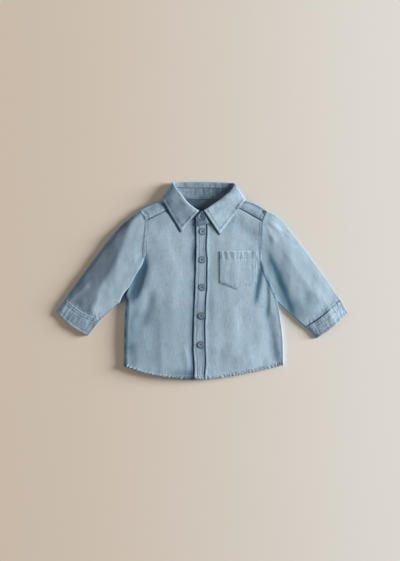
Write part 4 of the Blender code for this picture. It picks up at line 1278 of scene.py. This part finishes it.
def make_pocket():
    p = POCKET
    corners = [(p["left"], p["corner"]), (p["point_x"], p["point"]), (p["right"], p["corner"])]
    us = spaced(57.5, 0.55, 0.8, 8.0)
    vs = spaced(56.0, 0.55, 0.8, 8.0)
    u, v = np.meshgrid(us, vs)
    x = p["left"] + (p["right"] - p["left"]) * u
    low = np.interp(x, [c[0] for c in corners], [c[1] for c in corners])
    y = low + (p["top"] - low) * v
    x = x + 0.35 * ripple(y, 0.0, 13.0, 1.0, 111) * np.abs(2.0 * u - 1.0)
    y = y + 0.3 * ripple(x, 0.0, 15.0, 1.0, 112) * np.abs(2.0 * v - 1.0)
    from_left, from_right = x - p["left"], p["right"] - x
    from_low, from_top = 0.95 * (y - low), p["top"] - y
    side = np.minimum(from_left, from_right)
    sewn = np.minimum(side, from_low)
    along = np.where(side < from_low, y, x)
    rise = 0.6 * seam_band(sewn, along, POCKET_ROWS[0], 113, 0.15, 4.0)
    rise += 0.4 * seam_band(sewn, along, POCKET_ROWS[1], 115, 0.25, 4.4)
    hem_ripples = 0.24 * ripple(x, from_top, 4.6, 30.0, 117) * smooth(from_top, 17.0, 9.0)
    rise += hem_ripples * smooth(side, 1.0, 5.0)
    rise -= 0.14 * hump(from_top, POCKET_HEM, 0.8)
    full = smooth(sewn, 1.0, 14.0)
    z = lie(x, y) + 0.42 + 0.10 * full + 0.10 * full * ripple(x, y, 17.0, 30.0, 119)
    z += 0.12 * smooth(from_top, 8.0, 0.0) * smooth(side, 4.0, 18.0)
    z -= 0.10 * hump(sewn, 0.0, 0.9)
    edge = np.minimum(sewn, from_top)
    # Painted shade: along its stitches, in the troughs of its hem's ripples, in a painted shadow beside
    # its left edge, over its lit right edge and along its lower edge towards the left
    deep = stitch_shade(sewn, along, POCKET_ROWS[0]) + stitch_shade(sewn, along, POCKET_ROWS[1], 0.15)
    deep = deep + 0.45 * smooth(hem_ripples, -0.02, -0.16) + 1.5 * smooth(from_left, 1.1, 0.5)
    towards_right = smooth(x, 70.0, 74.0) * smooth(from_low, 8.0, 14.0)
    for away, shade in zip(POCKET_ROWS, (0.4, 0.55)):
        deep += towards_right * stitch_shade(sewn, along, away, shade)
    deep += 0.5 * smooth(from_right, 0.9, 0.3)
    towards_left = smooth(x, p["point_x"] + 2.0, p["point_x"] - 4.0)
    deep += 0.6 * towards_left * (smooth(from_low, 1.0, 0.4) + hump(from_low, 2.4, 0.6))
    sheet = skin(x, y, z + rise, (x, y), edge, rise, np.clip(deep, 0.0, 1.7))
    return shell("pocket_cloth", [sheet], POCKET_CLOTH, "pocket", 0.42)


pocket = make_pocket()

# ---- Collar band -----------------------------------------------------------------------
# A doubled band of chambray round the neck. Its ends cross at the front under one button, and
# its back stands folded down inside the neck.
COLLAR_COLUMNS = ("roll_x", "roll_y", "roll_z", "edge_x", "edge_y", "turn", "tuck", "neck_x", "neck_y")
# Stations from the wearer's right leaf round the back to the left leaf: where the collar turns
# over the band, its outer edge, how far it is wound round the neck (0 on top, 180 underneath),
# how far its seam lies inside the roll, and the band's lower seam.
COLLAR = {
    "right_tip": (-4.0, 107.7, 8.3, -32.2, 76.3, 0, 1.4, -13.0, 97.6),
    "right_front": (-12.0, 112.6, 8.6, -39.5, 88.8, 0, 1.4, -26.0, 92.6),
    "right_leaf": (-22.6, 121.6, 8.7, -47.0, 101.2, 0, 1.4, -38.6, 102.5),
    "right_top": (-36.2, 139.4, 8.0, -56.6, 118.2, 8, 1.8, -45.6, 120.0),
    "right_fold": (-43.6, 150.2, 5.0, -61.2, 126.6, 90, 4.5, -47.0, 129.8),
    "right_under": (-37.5, 151.2, 2.2, -51.0, 121.4, 172, 7.5, -39.5, 128.2),
    "back_right": (-18.0, 151.7, 1.95, -21.0, 118.8, 180, 8.5, -20.0, 126.6),
    "back": (3.0, 151.9, 1.95, 3.0, 118.2, 180, 8.5, 2.0, 126.0),
    "back_left": (24.0, 151.5, 1.95, 27.0, 118.8, 180, 8.5, 24.0, 126.6),
    "left_under": (43.5, 150.2, 2.2, 56.0, 121.2, 172, 7.5, 44.0, 128.4),
    "left_fold": (51.0, 148.4, 5.0, 68.4, 125.4, 90, 4.5, 52.0, 130.3),
    "left_top": (42.4, 136.4, 8.0, 61.6, 116.2, 8, 1.8, 50.6, 121.0),
    "left_leaf": (28.0, 124.6, 8.7, 49.8, 100.4, 0, 1.4, 41.4, 103.4),
    "left_front": (13.6, 114.4, 8.7, 38.6, 85.6, 0, 1.4, 27.0, 91.9),
    "left_tip": (3.6, 108.2, 8.3, 27.8, 72.0, 0, 1.4, 15.0, 88.4),
}
COLLAR_STEPS = 13     # columns between two stations
ROLL_HALF = 0.85      # half the distance between the collar and the band at the roll
BAND_SHORT = 0.8      # the band stops this short of the collar's seam
BAND_INSIDE = 1.05    # and lies this far inside the roll
BAND_UNDER = 2.6      # height of its lower seam under the neck, above the yoke's back
BAND_BUTTON = (0.8, 98.7)
# Ends of the collar band: lower seam x, y, upper edge x, y, and height
BAND_UNDER_END = (
    (8.0, 90.8, 8.0, 103.0, 5.7),
    (1.0, 93.6, 3.0, 105.4, 5.7),
    (-5.0, 95.5, -1.5, 106.2, 5.8),
)
BAND_OVER_END = (
    (8.6, 87.3, 4.6, 106.6, 8.0),
    (3.0, 86.1, 1.0, 106.8, 8.1),
    (-3.2, 84.8, -3.2, 104.4, 8.1),
    (-8.6, 83.6, -8.6, 97.0, 8.0),
)
NECK_CLOTH = chambray("chambray_neck", 0.75, TRIM_PAINTED_SHADE_TINT)


def collar_frame(station, hand):
    """At one station: roll point, direction across the leaf, the leaf's outer side, and how
    far it lies face up, from 1 to 0."""
    roll = np.array([station["roll_x"], station["roll_y"], station["roll_z"]])
    reach = np.array([station["edge_x"] - roll[0], station["edge_y"] - roll[1], 0.0])
    direction = reach / np.linalg.norm(reach)
    outward = np.array([direction[1], -direction[0], 0.0])
    if outward[0] * hand < 0:
        outward = -outward
    turn = math.radians(min(180.0, max(0.0, station["turn"])))
    outer = np.array([0.0, 0.0, math.cos(turn)]) + math.sin(turn) * outward
    return roll, direction, outer, (1.0 + math.cos(turn)) / 2


def band_rails():
    """Lower seam and upper edge of the collar band, from its covered end to its free end."""
    rails = [((x0, y0, z), (x1, y1, z)) for x0, y0, x1, y1, z in BAND_UNDER_END]
    for i, row in enumerate(COLLAR.values()):
        station = dict(zip(COLLAR_COLUMNS, row))
        neck = station["neck_x"], station["neck_y"]
        roll, direction, outer, face_up = collar_frame(station, -1 if i < len(COLLAR) // 2 else 1)
        neck_z = face_up * lie(*neck) + (1.0 - face_up) * (GROUND + BAND_UNDER)
        high = roll + (station["tuck"] + BAND_SHORT) * direction - BAND_INSIDE * outer
        rails.append(((*neck, neck_z), high))
    rails += [((x0, y0, z), (x1, y1, z)) for x0, y0, x1, y1, z in BAND_OVER_END]
    return [through(rail, COLLAR_STEPS) for rail in zip(*rails)]


def make_band():
    lower, upper = band_rails()
    share = np.linspace(0.0, 1.0, 27)[:, None]
    points = lower + (upper - lower) * share[..., None]
    run = run_along(lower)[None, :]
    tall = np.linalg.norm(upper - lower, axis=1)[None, :]
    from_low, from_high = share * tall, (1.0 - share) * tall
    rise = seam_band(from_low, run, 1.8, 121, 0.14, 4.0)
    rise += 0.28 * ripple(run, from_high, 3.1, 9.0, 123) * smooth(from_low, 1.0, 7.0)
    x, y = points[..., 0], points[..., 1]
    end_run = run[0, -1] - run
    round_end = np.clip(1.0 - end_run / 5.0, 0.0, 1.0)
    z = points[..., 2] + rise + 0.3 * ripple(run, from_low, 17.0, 17.0, 125)
    edge = np.minimum(from_low, end_run)
    inside = smooth(end_run, 34.0, 50.0)
    # Painted shade: the band inside the neck is painted shaded, lighter towards the wearer's right and at
    # the closure, with a painted shadow round its button and under the collar's leaves
    deep = 0.84 + 0.14 * smooth(x, 5.0, 40.0) - 0.06 * smooth(end_run, 30.0, 14.0)
    deep += inside * (0.20 * ripple(run, from_low, 4.4, 15.0, 143) - 0.42 * smooth(x, 4.0, -20.0))
    in_front = smooth(end_run, 34.0, 24.0)
    from_button = np.hypot(x - BAND_BUTTON[0], y - BAND_BUTTON[1])
    deep += 0.6 * smooth(from_button, 7.2, 5.4) * in_front
    deep -= 0.7 * hump(x, 0.0, 4.5) * hump(y, 108.0, 3.5) * in_front
    deep = np.maximum(deep, 1.5 * collar_shade(x, y))
    sheet = skin(x, y, z - 0.3 * round_end ** 2, (from_low, run), edge, rise, deep)
    return shell("band_cloth", [sheet], NECK_CLOTH, "collar_stand", 0.9, 0.0)


band = make_band()

# ---- Collar ----------------------------------------------------------------------------
# A stiffened double collar of chambray, turned down over the band, with two pointed leaves in
# front. It is stitched along its edge, and its back half lies face down under the neck.
LEAF = 0.65           # thickness of the doubled and stiffened leaf
LEAF_LOWEST = LEAF / 2 + 0.05    # height of its middle where it lies on the paper
LEAF_AIR = 0.03       # between a leaf and the fronts
LEAF_WIDTH = 4.6      # from its edge to its stitches
ROLL_RUN = 1.8        # from the roll to where the leaf lies level
LEAF_ROWS = ((0.3, 0.70), (0.62, 0.33), (1.0, 0.0))   # share of the width, share of the height
LEAF_RIPPLES = ((0.22, 15.0, 19.0, 133), (0.07, 4.0, 9.0, 135))
# Soft patches of painted shade on the leaves, as (x, y, reach across, reach along, strength)
LEAF_PATCHES = ((-50, 118, 8, 11, 0.50), (46, 138, 7, 6, 0.45), (31, 127, 7, 7, 0.42))
COLLAR_CLOTH = chambray("chambray_collar", 0.75, TRIM_PAINTED_SHADE_TINT)


def collar_section(station, hand):
    """Points across the collar, from its seam over the roll to its outer edge."""
    roll, direction, outer, face_up = collar_frame(station, hand)
    seam = roll + station["tuck"] * direction - ROLL_HALF * outer
    knee = roll + ROLL_RUN * direction + ROLL_HALF * outer
    edge_xy = np.array([station["edge_x"], station["edge_y"]])
    above = LEAF / 2 + LEAF_AIR
    over_yoke = 0.55 * smooth(station["edge_y"], 98.0, 112.0)
    edge_z = face_up * (lie(*edge_xy) + over_yoke + above) + (1.0 - face_up) * LEAF_LOWEST
    knee[2] = max(knee[2], LEAF_LOWEST)
    points = [seam, roll, knee]
    for share, height in LEAF_ROWS:
        x, y = knee[:2] + share * (edge_xy - knee[:2])
        z = edge_z + (knee[2] - edge_z) * height
        points.append(np.array([x, y, max(z, LEAF_LOWEST)]))
    return through(points, 9)


def make_collar():
    rows = through([COLLAR[name] for name in COLLAR], COLLAR_STEPS)
    stations = [dict(zip(COLLAR_COLUMNS, row)) for row in rows]
    half = len(stations) // 2
    sections = [collar_section(s, -1 if i < half else 1) for i, s in enumerate(stations)]
    points = np.stack(sections, axis=1)
    run = run_along(points[-1, :, :2])[None, :]
    from_edge = np.linalg.norm(points - points[-1:], axis=-1)
    from_ends = [np.linalg.norm(points - end, axis=-1) for end in (points[:, :1], points[:, -1:])]
    from_end = np.minimum(*from_ends)
    away = np.minimum(from_edge, from_end)
    along = np.where(from_edge < from_end, run, from_edge)
    rise = seam_band(away, along, LEAF_WIDTH, 131, 0.26, 4.4)
    x, y, z = np.moveaxis(points, -1, 0)
    rise += ripples(x, y, LEAF_RIPPLES)
    top = np.array([collar_frame(s, 1)[3] for s in stations])[None, :]
    across = np.stack([run_along(section) for section in sections], axis=1)
    leaf = smooth(across, 2.0, 6.0) * top
    z = z + rise * leaf
    # Painted shade: in pucker-like blotches on the back half under the neck, lighter at one spot; over the
    # right leaf; along the stitches and near the roll; along the left leaf's edges and outer part; and in
    # patches
    puckers = 0.34 * ripple(x, y, 4.2, 17.0, 141) - 0.25 * hump(x, -34.0, 7.0)
    deep = (0.55 + puckers + 0.4 * smooth(x, 8.0, 44.0)) * (1.0 - top) * smooth(across, 14.0, 5.0)
    painted_leaf_shade = 0.34 * smooth(x, 0.0, -12.0) * (1.0 + 0.5 * ripple(x, y, 13.0, 17.0, 137))
    deep += top * (stitch_shade(away, along, LEAF_WIDTH) + painted_leaf_shade * smooth(across, 2.0, 9.0))
    deep += 0.30 * top * smooth(across, 9.0, 3.0) * smooth(abs(x), 16.0, 34.0)
    deep = deep + 0.5 * smooth(away, 1.3, 0.1) * smooth(x, 20.0, 34.0) + 0.14 * smooth(x, 42.0, 58.0)
    deep += 0.35 * smooth(top, 0.99, 0.75) * smooth(x, 40.0, 48.0) * smooth(across, 3.0, 8.0)
    for patch_x, patch_y, wide, tall, strength in LEAF_PATCHES:
        deep += strength * top * hump(x, patch_x, wide) * hump(y, patch_y, tall)
    sheet = skin(x, y, z, (across, run + 0 * across), away, rise * leaf, deep)
    return shell("collar_cloth", [sheet], COLLAR_CLOTH, "collar", LEAF, 0.0)


collar = make_collar()

# ---- Buttons ---------------------------------------------------------------------------
# Six plastic buttons, dyed to match the cloth: a rim, a dished middle and four holes, crossed by
# thread. Each lies in the hollow that it pulls in the band.
# Distance from the middle and height of the face, from the middle to the underside
BUTTON_PROFILE = (
    (0.0, 1.05), (2.6, 1.05), (3.1, 1.08), (3.7, 1.18), (4.2, 1.22), (4.7, 1.16), (5.1, 0.95),
    (5.3, 0.65), (5.1, 0.30), (4.6, 0.0),
)
BUTTON_FACE = 2.6     # radius of its dished middle
BUTTON_HOLES = {"away": 0.95, "radius": 0.52, "deep": 0.8}
BUTTON_SINK = 0.65    # how far the cloth gives below it
BUTTON_SIDES = 48
BUTTON_WELD = 0.01
STAND_BUTTON = (20, 0.1)    # how far the collar band's button is turned, and how much painted shade darkens it
THREAD_LOW, THREAD_ARCH = 0.55, 0.85    # where its thread leaves a hole, and the arch above that


def plastic():
    finish = Finish("button_plastic", 0.42)
    place = finish.add("ShaderNodeTexCoord", {}, {}, "Object")
    cloud = finish.noise(place, (420.0, 420.0, 420.0), 2.0)
    painted_shade = finish.layer("painted_shade")
    face = finish.mix(cloud, (0.180, 0.265, 0.350, 1.0), (0.260, 0.350, 0.440, 1.0))
    # painted shade: darkens the face towards near black round the rim's side, at the holes and over a
    # whole button that carries more of it
    finish.colour(finish.mix(painted_shade, face, (0.020, 0.035, 0.060, 1.0)))
    return finish.material


def button_holes(turn):
    """Middles of the four holes of a button that is turned by so many degrees."""
    ways = [math.radians(turn + 45.0 + 90.0 * quarter) for quarter in range(4)]
    return [(BUTTON_HOLES["away"] * math.cos(way), BUTTON_HOLES["away"] * math.sin(way)) for way in ways]


def button_points(turn, button_painted_shade):
    """Rings of points over one button's face and side, pitted at its holes, and the painted shade on each:
    round the rim's side and at the holes.
    """
    profile = through(BUTTON_PROFILE, 5)
    outer = profile[profile[:, 0] >= BUTTON_FACE]
    inner = np.linspace(0.0, BUTTON_FACE, 22)[:-1]
    reach = np.concatenate([inner, outer[:, 0]])
    height = np.concatenate([np.full(len(inner), BUTTON_PROFILE[0][1]), outer[:, 1]])
    angle = np.linspace(0.0, 2.0 * math.pi, BUTTON_SIDES, endpoint=False)
    x, y = reach[:, None] * np.cos(angle), reach[:, None] * np.sin(angle)
    z = height[:, None] + 0 * x
    face = (np.arange(len(reach)) < len(inner) + 2)[:, None]
    painted_shade = 0.95 * smooth(reach, 4.2, 4.7)[:, None] + 0 * x
    radius = BUTTON_HOLES["radius"]
    for hole_x, hole_y in button_holes(turn):
        off = np.hypot(x - hole_x, y - hole_y)
        z -= BUTTON_HOLES["deep"] * smooth(off, radius + 0.12, radius - 0.12) * face
        painted_shade = np.maximum(painted_shade, smooth(off, radius + 0.6, radius) * face)
    return np.stack([x, y, z], axis=-1), np.maximum(painted_shade, button_painted_shade)


def seat(name, x, y):
    """Where a line straight down meets a piece, and the piece's slope there."""
    place, slope = SURFACES[name].ray_cast(Vector((x, y, 60.0)), Vector((0.0, 0.0, -1.0)))[:2]
    return place, slope if slope is None or slope.z > 0 else -slope


def make_button(node, turn, button_painted_shade, under, finish):
    """A button where its solid is, on the named piece; returns the paths of its threads."""
    low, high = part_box(node)
    x, y = (low.x + high.x) / 2 / MM, (low.y + high.y) / 2 / MM
    around = [(dx, dy) for dx in (-3.0, 0.0, 3.0) for dy in (-3.0, 0.0, 3.0)]
    heights = [seat(under, x + dx, y + dy)[0].z for dx, dy in around]
    tilt = seat(under, x, y)[1]
    tilt = (tilt + Vector((0.0, 0.0, 3.0))).normalized().to_track_quat("Z", "Y")
    tilt = np.array(tilt.to_matrix())
    rings, painted_shade = button_points(turn, button_painted_shade)
    count = painted_shade.size
    faces = grid_faces(*painted_shade.shape, True)[:, [0, 3, 2, 1]].tolist()
    faces.append(list(range(count - 1, count - BUTTON_SIDES - 1, -1)))
    middle = np.array([x, y, float(np.mean(heights)) - BUTTON_SINK])
    points = rings.reshape(-1, 3) @ tilt.T + middle
    layers = {"painted_shade": painted_shade.ravel()}
    disc = make_object(node + "_disc", points, faces, layers, finish, BUTTON_WELD)
    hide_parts(node)
    run = np.linspace(0.0, 1.0, 7)[:, None]
    arch = THREAD_LOW + THREAD_ARCH * np.sin(math.pi * run)
    holes = button_holes(turn)
    threads = []
    for first, last in ((0, 2), (1, 3)):
        plan = np.array(holes[first]) * (1.0 - run) + np.array(holes[last]) * run
        threads.append(np.hstack([plan, arch]) @ tilt.T + middle)
    return threads


PLASTIC = plastic()
button_threads = make_button("button_stand", *STAND_BUTTON, "band_cloth", PLASTIC)
for number, (*_, turn, button_painted_shade) in enumerate(BUTTONS, start=1):
    button_threads += make_button("button_" + str(number), turn, button_painted_shade, "placket_cloth", PLASTIC)

# ---- Stitches --------------------------------------------------------------------------
# Pale blue topstitching along the main seams and edges, one short bead of thread for each stitch,
# sunk into the cloth at both ends, and the crossed threads that hold the buttons.
STITCH = {"long": 2.1, "gap": 0.75, "thick": 0.21, "proud": 0.10, "sunk": 0.32}
STITCH_SHARES = (0.0, 0.12, 0.35, 0.65, 0.88, 1.0)    # where along a stitch its bead has a ring
STITCH_SIDES = 6
BUTTON_THREAD = 0.28  # half its thickness


def thread_finish(name, colour):
    finish = Finish(name, 0.75, 0.2)
    finish.colour(colour)
    return finish.material


def bead(path, thick):
    """A closed bead of thread along a short path, as points and faces."""
    path = np.array(path)
    run = np.gradient(path, axis=0)
    run /= np.linalg.norm(run, axis=1)[:, None]
    side = np.cross(run, np.array([0.0, 0.0, 1.0]))
    side /= np.maximum(np.linalg.norm(side, axis=1), 1e-6)[:, None]
    over = np.cross(side, run)
    ends = np.sin(np.linspace(0.12, math.pi - 0.12, len(path))) ** 0.4
    angle = np.linspace(0.0, 2.0 * math.pi, STITCH_SIDES, endpoint=False)
    turned = side[:, None] * np.cos(angle)[:, None] + over[:, None] * np.sin(angle)[:, None]
    points = path[:, None] + thick * ends[:, None, None] * turned
    faces = grid_faces(len(path), STITCH_SIDES, True).tolist()
    number = list(range(len(path) * STITCH_SIDES))
    caps = [number[:STITCH_SIDES][::-1], number[-STITCH_SIDES:]]
    return points.reshape(-1, 3), faces + caps


def join_beads(name, paths, thick, finish):
    points, faces = [], []
    start = 0
    for path in paths:
        more, quads = bead(path, thick)
        points.append(more)
        faces += [[start + i for i in face] for face in quads]
        start += len(more)
    return make_object(name, np.concatenate(points), faces, {}, finish)


def stitch_row(line, under, start=0.0, end=1.0):
    """Paths of the stitches along a line in plan, laid on the named pieces."""
    step = (STITCH["long"] + STITCH["gap"]) / line.length
    share = STITCH["long"] / line.length
    paths = []
    for at in np.arange(start + 0.3 * step, end - step, step):
        path = []
        for t in STITCH_SHARES:
            x, y = line.at(at + t * share)
            hits = [seat(name, x, y)[0] for name in under]
            heights = [hit.z for hit in hits if hit is not None]
            if not heights:
                break
            above = STITCH["proud"] if 0.0 < t < 1.0 else -STITCH["sunk"]
            path.append((x, y, max(heights) + above))
        if len(path) == len(STITCH_SHARES):
            paths.append(path)
    return paths


def front_rows(side):
    """Rows along the armhole and the yoke's end, above the yoke's seam and along the hem."""
    sign = inwards(side)
    armhole = edge_line(side, "yoke_end").then(edge_line(side, "armhole"))
    body = ["front_cloth_" + side, "yoke_cloth"]
    row_end = 0.97 if side == "left" else armhole.share_at_y(36.0)
    rows = stitch_row(armhole.beside(-sign * ARMHOLE_ROWS[0][0]), body, 0.03, row_end)
    for away, row_end in zip(YOKE_ROWS, (1.0, 0.97)):
        rows += stitch_row(edge_line(side, "yoke_seam", sign * away), ["yoke_cloth"], 0.2, row_end)
    hem = hem_line(side, placket_at(0.5, 1.0)[0]).beside(sign * HEM_WIDTH)
    return rows + stitch_row(hem, ["front_cloth_" + side, "placket_cloth"], 0.0, 0.99)


def placket_rows():
    """Rows inside the placket's free edge and on the left front beside its sewn edge."""
    rows = stitch_row(Line(placket_edge("free", PLACKET_ROW)), ["placket_cloth"], 0.01, 0.97)
    seam = Line(placket_edge("sewn", SEWN_ROW))
    return rows + stitch_row(seam, ["front_cloth_left"], 0.01, 0.97)


def pocket_rows():
    """Two rows round the pocket's sewn sides, and one along its turned top."""
    p = POCKET
    hem, top = p["top"] - POCKET_HEM, p["top"] - 0.5
    runs = []
    for inset in POCKET_ROWS:
        left, right = p["left"] + inset, p["right"] - inset
        low, point = p["corner"] + 0.9 * inset, (p["point_x"], p["point"] + 1.06 * inset)
        corners = [(left, top), (left, low), point, (right, low), (right, top)]
        runs += zip(corners, corners[1:])
    runs.append(((p["left"] + 1.0, hem), (p["right"] - 1.0, hem)))
    return [path for run in runs for path in stitch_row(Line(run), ["pocket_cloth"])]


def collar_rows():
    """Rows inside the edge of both leaves and along their front ends."""
    names = list(COLLAR)
    rows = []
    for side, leaf in (("right", names[:4]), ("left", names[:-5:-1])):
        stations = [dict(zip(COLLAR_COLUMNS, COLLAR[name])) for name in leaf]
        hand = -1.0 if side == "right" else 1.0
        edge = Line([(s["edge_x"], s["edge_y"]) for s in stations]).beside(-hand * LEAF_WIDTH)
        rows += stitch_row(edge, ["collar_cloth"], 0.09, 0.97)
        tip = stations[0]
        front = Line([(tip["roll_x"], tip["roll_y"]), (tip["edge_x"], tip["edge_y"])])
        rows += stitch_row(front.beside(-hand * LEAF_WIDTH), ["collar_cloth"], 0.06, 0.86)
    return rows


def cuff_rows(side):
    sign = inwards(side)
    cuff = ["cuff_cloth_" + side]
    rows = stitch_row(edge_line(side, "cuff_end", sign * CUFF_END_ROW), cuff, 0.03, 0.97)
    for away in CUFF_ROWS:
        rows += stitch_row(edge_line(side, "wrist", -sign * away), cuff, 0.02, 0.98)
    return rows


rows = placket_rows() + pocket_rows() + collar_rows()
for side in ("left", "right"):
    rows += front_rows(side) + cuff_rows(side)
pale_thread = thread_finish("pale_thread", (0.50, 0.60, 0.68, 1.0))
dark_thread = thread_finish("button_thread", (0.10, 0.15, 0.20, 1.0))
join_beads("topstitching", rows, STITCH["thick"], pale_thread)
join_beads("button_threads", button_threads, BUTTON_THREAD, dark_thread)
